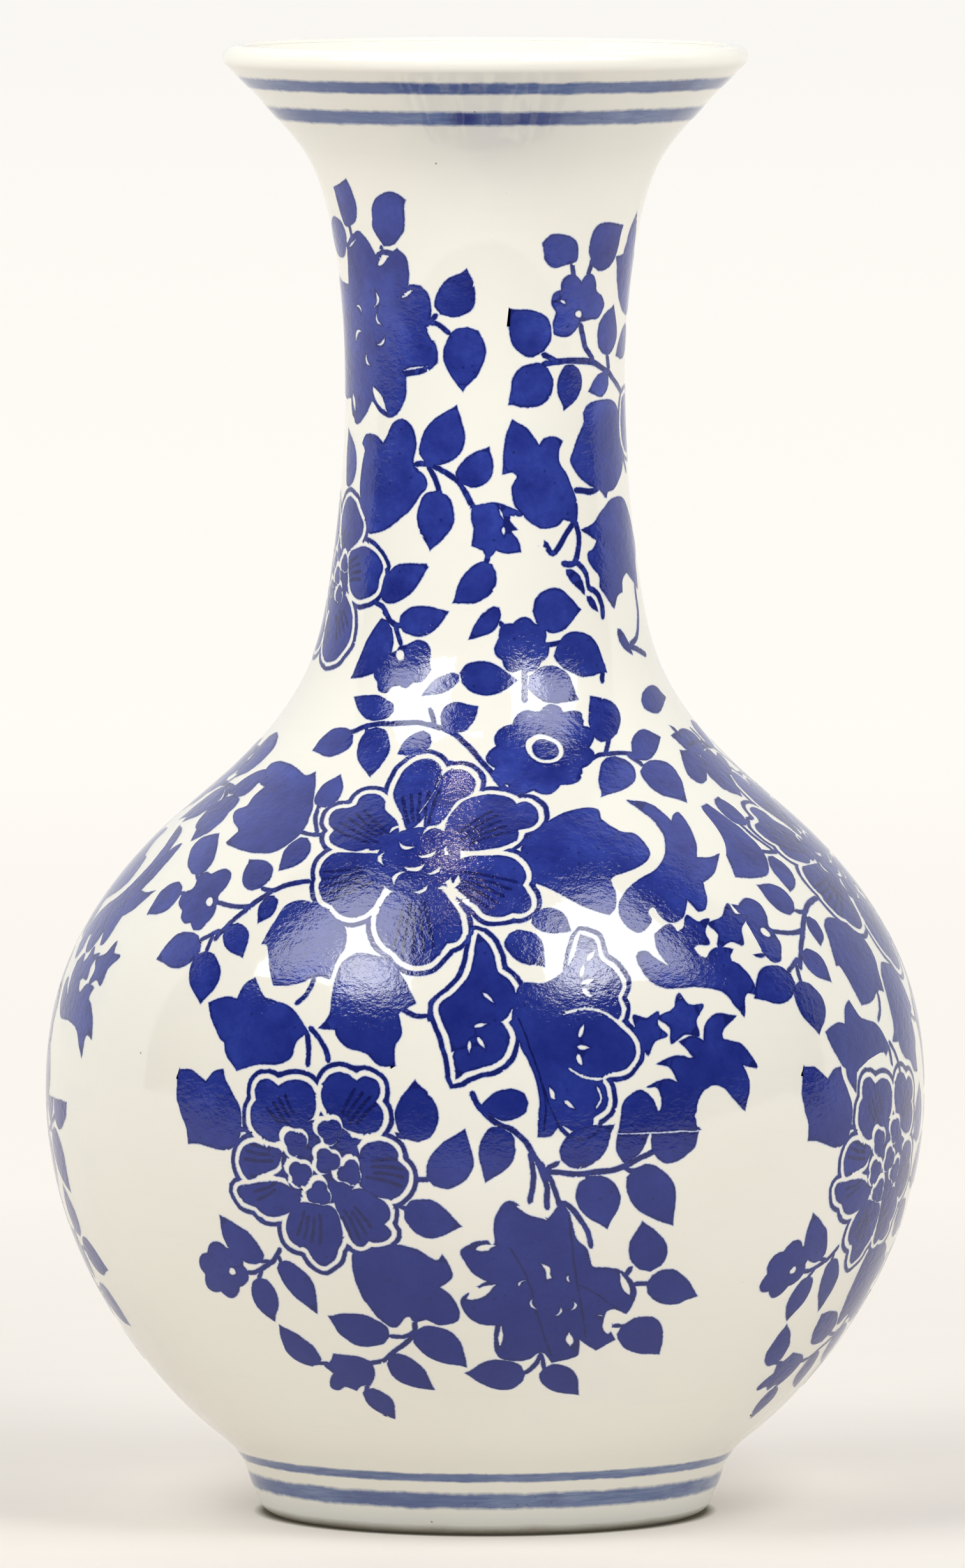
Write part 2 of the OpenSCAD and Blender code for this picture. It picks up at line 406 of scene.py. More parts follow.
def lower_leafage(d):
    d.stems(
        (0.9, (-40, 77), (-36, 76.8), (-33, 78.5), (-30, 80.5), (-28, 83.5)),
        (0.8, (-33.5, 78.5), (-34.5, 75)), (0.8, (-31, 80), (-34, 80)), (0.8, (-28.5, 81.5), (-28, 79.5)),
        (0.9, (3, 66), (2.5, 62.5), (0, 59.5), (-3, 57), (-6, 54.5), (-10, 53.3)),
        (0.8, (-3.5, 61.5), (0, 61.5), (2.8, 63)), (0.8, (-3, 57), (-2.5, 55)),
        (0.8, (-23, 53), (-19, 53)), (0.8, (-10.5, 47), (-11, 44.5)),
        (0.8, (26, 51), (28.5, 53), (30.5, 56.5)), (0.8, (30.5, 57), (31, 52)),
        (0.9, (5, 101), (8.5, 101)), (0.8, (1, 95), (4, 93.5)), (0.8, (1, 111.5), (3, 110.5)),
        (1.0, (18, 121), (20.5, 117), (24, 114), (28, 112), (31.5, 108), (33.5, 104), (35, 99), (35, 94)),
        (0.9, (31.5, 107.5), (32, 102), (31, 95.5)), (0.9, (33.5, 105), (36.5, 99.5), (38, 94.5)),
        (1.0, (34.5, 103), (43, 102.2), (52, 103.3), (57, 105.5), (62, 107.5)),
        (0.8, (35, 103.5), (38, 105)), (0.8, (44, 102.3), (45.5, 100)), (0.8, (53, 103.5), (56, 102)),
        (0.8, (52, 77), (54, 79.5)), (0.8, (54, 75), (58, 75)), (0.8, (48, 64), (51, 64)),
        (0.8, (-38, 111), (-34.5, 111)),
    )
    d.leaves(
        (-11, 45.5, -5.5, 36, 5.6, 0.03), (-21.8, 52.6, -30.6, 63.2, 6.6, 0.05),
        (-3.6, 61.5, -17.6, 66.4, 8.6, 0.06), (3, 63.2, 13.3, 53, 9, 0.05), (-3.8, 55.7, 5, 46, 7.2, -0.04),
        (26.3, 51, 12.8, 51, 8.8, 0.03), (31, 52.6, 37.8, 44.2, 8, 0.02), (-33.2, 80, -44, 90.6, 7, 0.06),
        (-34.4, 75.6, -31.8, 64.4, 6.6, -0.02), (-28.4, 80, -20.4, 67.2, 6.4, 0.06),
        (2.8, 94, 15.2, 90, 8.6, -0.05), (6, 109.8, 5.2, 123.4, 9.8, 0),
        (9.6, 99.6, 16.6, 112.5, 9.4, -0.08), (25, 113, 21.2, 100.6, 7.8, 0.05),
        (31, 118.5, 20, 117.5, 7, 0), (45, 101.5, 48.5, 89.3, 10, 0.03), (55.5, 103, 64.4, 89.3, 10.5, 0.04),
        (58.5, 78.5, 57, 90.5, 9.2, -0.02), (57.5, 75, 70, 71.3, 9, 0.04), (50.5, 64, 59, 55.4, 11.4, 0.12),
        (38.6, 105.5, 50.5, 113, 8.6, -0.03),
    )
    outlines = {
        "cup": [
            (-10, 83), (-6, 84.6), (0, 85.4), (4.5, 84.4), (9, 81.6), (10.6, 83, 0), (12, 80), (12.2, 77.5),
            (9.3, 75, 0), (11.6, 73), (13, 69), (12.5, 66), (9, 65), (5.5, 66.3), (3, 65.6), (2, 67),
            (0.6, 66.6, 0), (-1.2, 64.4), (-3, 64.4), (-5.5, 66.8), (-8.3, 71.5), (-10, 77),
        ],
        "small_lobed": [
            (-17.6, 55.8, 0), (-12, 55.2), (-9, 54), (-8.2, 50.5), (-10, 46.8, 0), (-12, 46.6),
            (-13.6, 44.9, 0), (-16, 46.2, 0), (-18, 44.9), (-19.6, 45.6), (-19.4, 48), (-18.4, 50, 0),
            (-20.4, 52.2, 0), (-18.6, 53.6),
        ],
        "tulip": [
            (-55.5, 123.8, 0), (-52, 123.6), (-49.4, 122.4), (-47.2, 121.2, 0), (-45, 123.5),
            (-42.4, 124.2, 0), (-41.6, 121.5), (-39.5, 119), (-37.6, 115.5), (-37.2, 111), (-38.6, 107.6),
            (-42, 106.2), (-46, 106.6), (-49.4, 107.2), (-52.4, 107, 0), (-52.8, 110.5), (-54.4, 113.6),
            (-56, 118),
        ],
        "cut_left": [(51.8, 110.8, 0), (59.2, 110.8, 0), (57, 107), (53.4, 104, 0), (51.6, 107)],
        "cut_right": [(60, 110.8, 0), (71.4, 110.8, 0), (70, 107), (66, 104.4), (62.4, 104.4), (60, 107.4)],
    }
    d.filled("leaves", outlines)


def upper_leafage(d):
    d.stems(
        (0.8, (-24, 140), (-21.5, 142.5), (-20, 146.5)), (0.9, (-24, 137), (-20.5, 133), (-20, 126)),
        (0.9, (-20, 135), (-16.5, 131), (-15, 127)),
        (1.0, (-24.5, 171.5), (-30, 170.5), (-34, 168.5), (-37.5, 168.8)),
        (1.0, (-34, 168.5), (-40, 163.5), (-45, 158.5), (-48.5, 154.5)),
        (0.9, (-51, 164.3), (-45, 163.6), (-39.5, 163.8)), (0.8, (-47, 157), (-53, 154)),
        (0.8, (-49, 156), (-50.5, 151)), (0.8, (-45, 158.5), (-44.5, 156.5)),
        (0.9, (-33, 186.5), (-28, 185.5), (-24, 185.5)), (0.9, (-27, 198), (-27.2, 191), (-25.5, 186)),
        (1.0, (-24, 216.5), (-18, 219), (-9, 220), (-2, 219.5), (4, 216.5), (10, 210), (15.5, 203),
         (18.5, 200.5)),
        (0.9, (20.5, 203), (18.5, 200.5)), (0.8, (-2, 220), (-3.5, 224)), (0.8, (-19, 218.5), (-18.5, 216)),
        (1.0, (36, 209.5), (39, 211), (44, 211), (50, 210)), (0.9, (40, 211), (40.6, 215.5)),
        (0.9, (46, 210.5), (51, 207)), (0.9, (1, 140), (5, 138), (7.5, 138.3)), (0.8, (8, 137), (8, 142)),
        (0.8, (-66, 165.2), (-62, 165.8)), (0.8, (-60.4, 172.4), (-58.6, 169.6)),
        (1.0, (-76, 196.6), (-70, 198.4), (-66, 197), (-63, 194.4)), (0.8, (-66, 196.8), (-60.5, 196.6)),
    )
    d.leaves(
        (-44.5, 158.4, -39.5, 150.6, 7, 0.04), (-50.5, 151.4, -50, 139, 9.4, 0.02),
        (-52.6, 153.4, -66.8, 148.6, 8.4, 0), (-37.6, 169, -43, 176.6, 9, -0.05),
        (-33.4, 167, -36.5, 159.5, 4.6, 0.02), (-28, 184, -33.6, 174.2, 6.4, 0.05),
        (-27, 194.2, -23.5, 204.6, 6.4, -0.03), (-22.3, 216, -33.8, 211, 7.6, 0),
        (-16, 218.5, -15.5, 204.5, 8.2, -0.02), (-2.8, 217, -9.5, 211.5, 6, 0.08),
        (-12.6, 223, -24, 226, 6.5, 0.06), (0, 219.5, 7.5, 224.5, 8, 0), (40.8, 215, 34.7, 226.6, 9, -0.08),
        (42.6, 210.2, 40.2, 198.2, 10, 0.2), (51, 207.2, 64.8, 195, 8.6, 0.06),
        (47.5, 211, 57, 214.6, 8.4, 0.04), (29, 163, 38, 159, 6, 0.05), (24, 158, 33, 150, 7, 0.05),
        (-64.2, 167.4, -75.4, 159.2, 6.8, 0), (-61.8, 171.4, -57, 183.4, 11, 0.08),
        (-58.4, 193.4, -68.2, 180.2, 8.8, -0.04), (-51.2, 202.2, -59.6, 194.8, 5.6, 0),
        (-51.6, 213.6, -64.8, 200.6, 8.2, -0.04), (-65.6, 195.6, -81, 185, 7, -0.04),
    )
    outlines = {
        "maple": [
            (-47.5, 139.3, 0), (-43.5, 140.8), (-39.6, 140.6, 0), (-38, 144), (-35.2, 145.8, 0), (-33, 142),
            (-30, 140.6), (-26, 139.6), (-22.5, 136.6), (-20.5, 134, 0), (-23.5, 131), (-24.6, 128),
            (-28, 126.2), (-33, 126), (-37, 124.8), (-38.6, 124.2, 0), (-41, 127), (-42.2, 130.6, 0),
            (-44, 132), (-46.4, 136),
        ],
        "heart": [
            (-10, 153), (-6, 152.4), (-2, 151), (1.5, 146.5), (4.5, 141.2, 0), (0.8, 138.8, 0), (1.7, 134.5),
            (0.2, 131), (0.6, 126.6, 0), (-3, 127), (-6.5, 129.6), (-10.5, 130.4), (-13.2, 133),
            (-13.8, 134.6, 0), (-17.6, 134.8, 0), (-15.4, 137.6), (-15, 142), (-14.6, 147), (-13, 151),
        ],
        "broad": [
            (-34.6, 154.2, 0), (-32.5, 159), (-29.5, 164.5), (-25, 166), (-19, 164), (-14.5, 160),
            (-13.2, 155), (-15, 151), (-16, 146.6, 0), (-20, 146.8), (-25, 144.8), (-30, 144.4, 0),
            (-31.4, 148), (-32.8, 153.6),
        ],
        "bud": [
            (24, 183), (26, 188), (31, 192.6), (35, 194.6), (39.6, 194.2), (41, 191, 0), (44, 188.6),
            (47, 186.6), (50, 186), (53, 183.4), (55, 179), (52, 175.8), (47, 173.8), (45.6, 172.4, 0),
            (47.4, 168.5), (48, 164.8), (46.8, 162.8, 0), (42, 164.6), (37, 167.4), (31, 171), (27, 173),
            (24, 177),
        ],
        "big": [
            (-47.6, 206.6), (-43, 207), (-38, 205.6), (-35.8, 204.4, 0), (-33.5, 203.6), (-31, 205, 0),
            (-29.8, 200), (-28.8, 193), (-29.6, 187), (-32.5, 182.6), (-36.5, 179.4), (-43, 178.8),
            (-48, 179.6), (-53, 181, 0), (-49.6, 184.8, 0), (-53.4, 188), (-54.4, 190.6), (-50.4, 193, 0),
            (-49.6, 196), (-46.6, 199.2, 0), (-49.8, 200.4), (-49.6, 204.4),
        ],
    }
    d.filled("leaves", outlines)


def upper_scrolls(d, whole):
    outlines = {
        "top": [
            (47, 196.8, 0), (53.5, 195), (58, 191.6), (60.2, 189, 0), (60.6, 191.2), (62.2, 191.8),
            (65, 188.2), (67.4, 183), (68.2, 177.8, 0), (71.5, 177.4), (75, 178.2, 0), (74.2, 175),
            (73, 172.4), (70.2, 170.6, 0), (71.6, 166.8), (71.2, 163.4), (69.4, 162.8, 0), (66.2, 166, 0),
            (65.4, 161.6), (62.2, 160.2), (59, 162.8), (57.6, 164.6), (56, 163.2), (57.2, 160.6),
            (54.5, 158), (51, 160.2), (49, 164), (49.6, 168.2), (53, 172.2), (57, 174.6), (59, 179),
            (58.4, 185), (54.6, 190.4),
        ],
        "middle": [
            (54.6, 152.2), (57, 153, 0), (59.6, 151), (62.6, 149.2), (59.8, 153.4), (58.4, 157.4, 0),
            (62.4, 159.6), (66, 155), (68.4, 153.8, 0), (70.4, 151.6), (72.2, 150.6, 0), (75.2, 153.2),
            (79.8, 152.6, 0), (79.2, 150), (82, 148.4), (85.4, 145), (87.4, 140.8, 0), (84, 141.6),
            (83.6, 136.2, 0), (80.8, 139), (77.2, 142.6), (70, 144), (62, 144.2), (57, 147.4),
        ],
    }
    if whole:
        outlines["low"] = [
            (66.4, 131.4, 0), (69.6, 132.6), (72.8, 131.4, 0), (73.2, 135), (76, 137.2), (81, 136.6, 0),
            (78, 134.2), (77.8, 131.8), (82.6, 130.2), (86, 127.2), (87.6, 124.6, 0), (83.4, 125.6, 0),
            (85.2, 121), (84.2, 115, 0), (81, 118), (77.4, 121), (73.6, 120.6), (71, 117), (70.8, 112.6),
            (72, 111.4, 0), (51.8, 111.4, 0), (52.4, 115), (53.2, 118.6), (57, 120.6), (60.2, 118.4),
            (61.6, 115.8), (62.4, 118.4), (61.2, 121.2), (58.6, 121.4, 0), (62.8, 123), (66.4, 122, 0),
            (64, 125.6), (61, 126.6, 0), (66, 128.2), (70.2, 127.6), (68, 130),
        ]
    d.filled("scrolls", outlines)
    stars = [(68.5, 157, 5.4, 40), (78.6, 158.2, 6.2, 25), (58.2, 134, 5.2, 60), (67, 136.6, 6, 30)]
    for x, y, r, turn in stars[:4 if whole else 2]:
        d.blue("scrolls", star(x, y, r, turn))


def lower_flowers(d):
    d.blue("flowers", ring(-44.4, 77, 7.2, 6, 0.2, 15))
    d.white("flowers", ring(-41.8, 76.8, 1.1))
    # The flower in the middle of the sheet's lower half.
    d.outlined([
        [(-15, 115.8), (-16.6, 120), (-15.4, 123.5), (-12.5, 124.9), (-10, 124.2), (-8.4, 123.1, 0),
         (-6.2, 124.2), (-3.6, 123), (-2.8, 120.6), (-3.7, 118.5, 0), (-2, 116), (-2.2, 113.4),
         (-4.5, 111.4), (-10, 112)],
        [(-19, 114.5), (-18.2, 119), (-19.2, 121.6), (-22, 122.8), (-25, 122.4), (-27.3, 121.2, 0),
         (-30, 122.6), (-32.6, 121.8), (-33.4, 119.6), (-33, 118, 0), (-34.4, 115.5), (-34, 111.8),
         (-31, 109.4), (-27, 109)],
        [(-27, 106.6), (-31.2, 107.4), (-34.4, 108), (-36.8, 106.6), (-37.6, 104), (-36.8, 101), (-35, 99.8),
         (-31.9, 101.2), (-28, 103)],
        [(-38.4, 97.3), (-34.2, 98.5), (-29.6, 99.4), (-25.4, 98.6), (-22.3, 96), (-23.4, 93.6), (-27, 91.6),
         (-31, 91.5), (-33.8, 93.4, 0), (-36.9, 94.4)],
        [(-23, 94.5), (-18, 94.5), (-14.2, 93.8), (-12.6, 90), (-12.4, 86.4), (-13.8, 84, 0), (-14.6, 81.6),
         (-17, 79.8), (-19.6, 81), (-21.2, 83.8, 0), (-24.4, 84.8), (-26, 88), (-25.2, 91.5)],
        [(-13.8, 95.6), (-11, 97.4), (-7.2, 98.4), (-3.8, 96.8), (-1.4, 94.6), (-1.1, 92), (-2.4, 90.3, 0),
         (-0.8, 88.6), (-1.6, 86.8), (-4.6, 86), (-6.2, 86.2, 0), (-7.6, 85), (-9.6, 85.6), (-11.4, 89.4)],
        [(-7, 107.5), (-3.5, 109.4), (-0.2, 108.8), (1.2, 107), (1.2, 105.2, 0), (3.3, 103.2), (3.4, 100),
         (1.8, 97.4), (-1, 96.3), (-4.4, 97.4), (-7.6, 100)],
    ], 2.25, 1.5)
    d.blue("flowers", ring(-17, 104.4, 9.6))
    d.petal_veins(-17, 104, (55, 128, 170, 200, 258, 300, 355), 11, 20.5, 6, 4)
    d.clovers(4.1, (-23.6, 109, 200), (-15, 112, 100), (-10.4, 102.6, 10), (-22.5, 102, 200),
              (-15.8, 105.2, 60), (-18, 97.6, 260))
    # The pointed flower low on the sheet's right.
    d.blue("flowers", smooth([
        (22.6, 85.6), (22.8, 90), (24.2, 94.6), (26.6, 96), (29.5, 94.4), (34, 92.2), (35.4, 92),
        (38.4, 95.8, 0), (40, 92.6), (41.2, 87), (43.6, 84), (44.6, 79.8), (48, 79.4), (52, 78), (54.4, 74),
        (53.4, 70), (51.6, 67.4, 0), (48.4, 69), (46.4, 66.5), (48.2, 60.2, 0), (45.5, 58.6),
        (43.4, 57.4, 0), (41.4, 59.4), (39.8, 60.8, 0), (39.2, 57.4), (38.4, 55.8), (33, 54.2, 0),
        (31.4, 57), (29.8, 57, 0), (27, 55.2), (23, 55), (20.8, 56.4), (20.4, 60.5), (21.4, 65, 0),
        (17.5, 65.6), (14.8, 68), (14, 71.4), (17, 74.2), (20.5, 76.4, 0), (17.4, 78.8), (15.6, 82),
        (15.2, 84.4), (18, 86), (21, 86.4),
    ]))
    d.slivers((18, 84.4, 23, 85.4, 1.8), (15.2, 71.8, 22.4, 75.6, 3.0), (21.5, 59, 22.6, 65, 1.4),
              (37.6, 58.6, 37.8, 63, 2.0), (47, 61.6, 46.4, 67, 2.4), (53, 72.2, 51, 78.4, 2.0),
              (27.6, 95, 35, 91.4, 1.7), (43.6, 85, 40.6, 93, 2.6))
    d.blue("stems", stroke([(38.6, 95.6), (41.4, 93.2), (43.8, 89), (44.6, 84.5)], 0.9))
    d.crescents((33, 78.6, 10, 1.5), (28.4, 75.6, 140, 0.8), (30.8, 70.6, 190, 1.0), (35.4, 68.6, 330, 1.0),
                (39.4, 77, 180, 0.8), (39, 70, 340, 0.9), (45.5, 66.5, 80, 0.6))
    d.vein("flowers", stroke([(26, 85), (29.5, 77), (30.8, 68), (33, 56)], 0.5),
           stroke([(40, 93), (40.6, 78), (41.6, 61)], 0.6), stroke([(41, 75.5), (46, 72), (51, 67.8)], 0.5))


def upper_flowers(d):
    # The five-lobed flower at the left and the ringed one at the right.
    d.blue("flowers", smooth([
        (-47.6, 171.5), (-49.5, 173.4), (-52, 172.8), (-54.6, 171.4, 0), (-56.6, 172), (-58.6, 170.8),
        (-59, 168), (-60.4, 166.6, 0), (-62.8, 165.4), (-63.2, 163), (-61.2, 161.4, 0), (-61, 159.4),
        (-59.4, 158.2), (-57.4, 158.6, 0), (-56, 156.8), (-53.6, 157), (-52, 158.8), (-50.4, 161),
        (-50, 163.4), (-50, 166), (-48.4, 168.4),
    ]))
    d.white("flowers", ring(-52.6, 164.2, 1.4))
    d.blue("flowers", ring(24.2, 212, 12.8, 11, 0.14, 8, 1.02, -35))
    d.white("flowers", ring(24.4, 213, 5.2, squash=0.72, tilt=-35))
    d.blue("flowers", ring(24.6, 212.8, 3.4, squash=0.72, tilt=-35))
    # The large flower on the shoulder.
    d.outlined([
        [(2.7, 205.8), (5, 207), (7.6, 206.2), (9.6, 203.6), (9.4, 200), (6.4, 197), (4.6, 192), (1, 188),
         (0, 196)],
        [(-8.5, 199.4), (-7.8, 205), (-5.6, 208.8), (-2.6, 210.1), (0, 209.2), (1.6, 206.6), (2, 202),
         (1, 197), (-0.4, 192), (-3, 188), (-5.4, 192.6)],
        [(5.4, 188), (6, 193), (8.6, 197.6), (12.4, 199.2), (16.4, 199.1), (19, 197.8), (20.2, 196.3, 0),
         (22.4, 196.9), (24.8, 195.2), (26, 192), (25.2, 189.2), (21.9, 188, 0), (22.2, 185.6), (20.6, 183.6),
         (16, 182.2), (10.8, 181.8), (7, 184)],
        [(8.6, 177.5), (12, 179.6), (17, 180), (21.4, 179.5), (24.4, 177), (25.8, 173.6), (25.3, 171.2, 0),
         (27.2, 168.6), (28, 165.8), (26.8, 163.9), (24.2, 163.9, 0), (21.6, 162.8), (18.4, 163.4),
         (15.6, 166), (13, 168.4), (9.6, 172)],
        [(-4, 169), (0, 170.5), (6.5, 170.2), (9.6, 167), (12.4, 162.4), (13.3, 158.6), (12.2, 156.4),
         (10.2, 155.8, 0), (9, 153.4), (7, 151), (4, 150.2), (0.8, 151.4), (-1.4, 153.6), (-4.4, 155.8),
         (-6.4, 160), (-6.2, 164.6)],
        [(-19.6, 179.8), (-14, 180.2), (-8, 179.8), (-5, 176.5), (-6, 171.5), (-7.6, 166.4), (-9.6, 163.2),
         (-12.6, 162.1), (-15.8, 163), (-17.8, 165.2, 0), (-20.4, 166.6), (-22, 170), (-21.5, 171.9, 0),
         (-22.5, 174.6), (-21.9, 177.6)],
        [(-14.8, 198.9), (-12.2, 198.8), (-10.4, 197), (-9.8, 194.2), (-6.6, 190.6), (-5.4, 186.6),
         (-7.3, 183.2), (-10.4, 181.4), (-12, 182, 0), (-14.8, 180.8), (-18.4, 181.8), (-21.4, 183.4),
         (-22, 185.4), (-21, 187, 0), (-22.9, 189.4), (-23, 192.2), (-21.4, 194), (-18.8, 194.2),
         (-17.2, 195.4, 0), (-16.6, 197.8)],
    ], 2.45, 1.6)
    d.white("flowers", stroke([(1.7, 207), (0.9, 200), (-1.6, 193)], 0.5, 0.2))
    d.blue("flowers", ring(0.4, 178.6, 9.6, squash=1.05))
    d.petal_veins(0.5, 178, (37, 97, 145, 200, 335, 275), 10.5, 26, 5.5, 5)
    d.crescents((2.6, 187.4, 120, 1.5), (-2.6, 183.6, 250, 1.4), (2.4, 181.2, 290, 1.5),
                (-7, 178.8, 180, 1.4), (0, 177.4, 280, 1.7), (-2.6, 173, 150, 1.5), (2, 170.8, 300, 1.4),
                (8.8, 172.6, 330, 1.7), (7.8, 181.8, 200, 1.3), (-5.8, 187.4, 120, 1.3),
                (4.4, 176.2, 300, 1.3))
    # The half flower under it.
    d.outlined([
        [(17, 158.2, 0), (20, 155), (21.6, 151.5), (22.4, 148.6, 0), (25.6, 146), (27.2, 142.4),
         (25.6, 138.4), (24, 137, 0), (26, 134), (25.6, 130), (23, 127.4), (20.2, 126.6), (17, 125.6),
         (14.6, 124, 0), (14, 129), (12.4, 134), (10, 140.2), (13, 143.4), (15.6, 147), (16.8, 152)],
    ], 2.4, 1.55)
    d.sprigs((18, 135.8, 10, 3.4, 1.2), (18.8, 133.4, -50, 3.4, 1.2), (17.4, 132.8, -90, 3.4, 1.2),
             (19.4, 143.8, -40, 4, 1.1))
    # The fan-shaped flower beside it.
    d.outlined([
        [(40.6, 157.8, 0), (44, 156), (45.8, 151.5), (49.6, 148.6), (51.4, 145), (50.6, 142), (51.8, 139),
         (50, 136.8), (44, 139), (40, 145), (39.8, 152)],
        [(40, 138), (46, 139), (50.4, 136.4), (54.6, 132.2), (55.6, 128.6), (53, 125.6), (49.4, 125.2, 0),
         (45, 124.4), (41, 128)],
        [(42, 123), (47.6, 122.8), (49.2, 119.6), (48.6, 116.8), (45.8, 115, 0), (45.4, 112.6), (42, 112),
         (39, 116)],
    ], 2.15, 1.4)
    d.blue("flowers", smooth([
        (28, 145.6), (33, 145.6), (37, 148), (39.6, 152), (40.6, 157.8, 0), (44, 156), (45.8, 151.5),
        (49.6, 148.6), (51.2, 145), (50.4, 142), (50.6, 139), (49, 136.8), (51, 134), (53, 128.6),
        (51, 125.6), (48, 124), (48.4, 119.6), (47.6, 116.8), (45.6, 114.6, 0), (45.2, 112.2), (42, 111.8),
        (38.6, 113.4), (36, 111.2), (33.2, 110.8, 0), (33.6, 118), (32.4, 124.4), (29, 131.4), (26.8, 138),
    ]))
    d.white("flowers", stroke([(38, 138.4), (42, 139.7), (46, 139.4), (51.4, 136.4)], 1.0),
            stroke([(40, 126.2), (43.6, 124.2), (47.6, 123.6), (51.4, 125)], 0.9),
            stroke([(46.6, 122), (47.8, 119.4), (46.4, 116.8)], 0.8))
    d.sprigs((41.5, 147, 80, 3.6, 1.4), (41.6, 145.6, 15, 3.6, 1.4), (42, 144.6, -40, 3.6, 1.4),
             (42, 133, 70, 3.6, 1.4), (41.4, 131, -5, 3.6, 1.4), (41.8, 129.6, -60, 3.6, 1.4),
             (37, 119, 110, 3.6, 1.4), (39, 119, -35, 3.6, 1.4), (42.6, 151, 60, 3.6, 1.4))
    d.vein("flowers", stroke([(28, 138), (31, 131), (35.5, 119), (38.4, 112.4)], 0.5),
           stroke([(33, 126), (35, 118), (34.5, 112)], 0.5))


def lower_body_sheet():
    d = Drawing()
    lower_leafage(d)
    lower_flowers(d)
    return d.shapes


def upper_body_sheet(whole=True, trims=()):
    """trims are outlines cut away where a neighbour's paper covers this sheet."""
    d = Drawing()
    upper_leafage(d)
    upper_scrolls(d, whole)
    upper_flowers(d)
    d.white("leaves", *trims)
    return d.shapes


def shoulder_patch():
    """Leaves cut from a spare sheet and laid where the front and right sheets leave a gap."""
    d = Drawing()
    d.stems((1.0, (70.4, 208.6), (73, 209.7), (78, 210.6), (86, 210)), (0.8, (72.6, 209.4), (76, 208)))
    d.leaves((77.4, 210.2, 61.8, 214.8, 6.2, -0.03), (73.4, 201.4, 64.4, 210.4, 8.4, -0.04),
             (74, 208.4, 88.4, 194.8, 8.8, 0.04), (91, 203.2, 83.6, 206.8, 6.4, 0))
    return d.shapes


# ---------------------------------------------------------------- the neck sheets

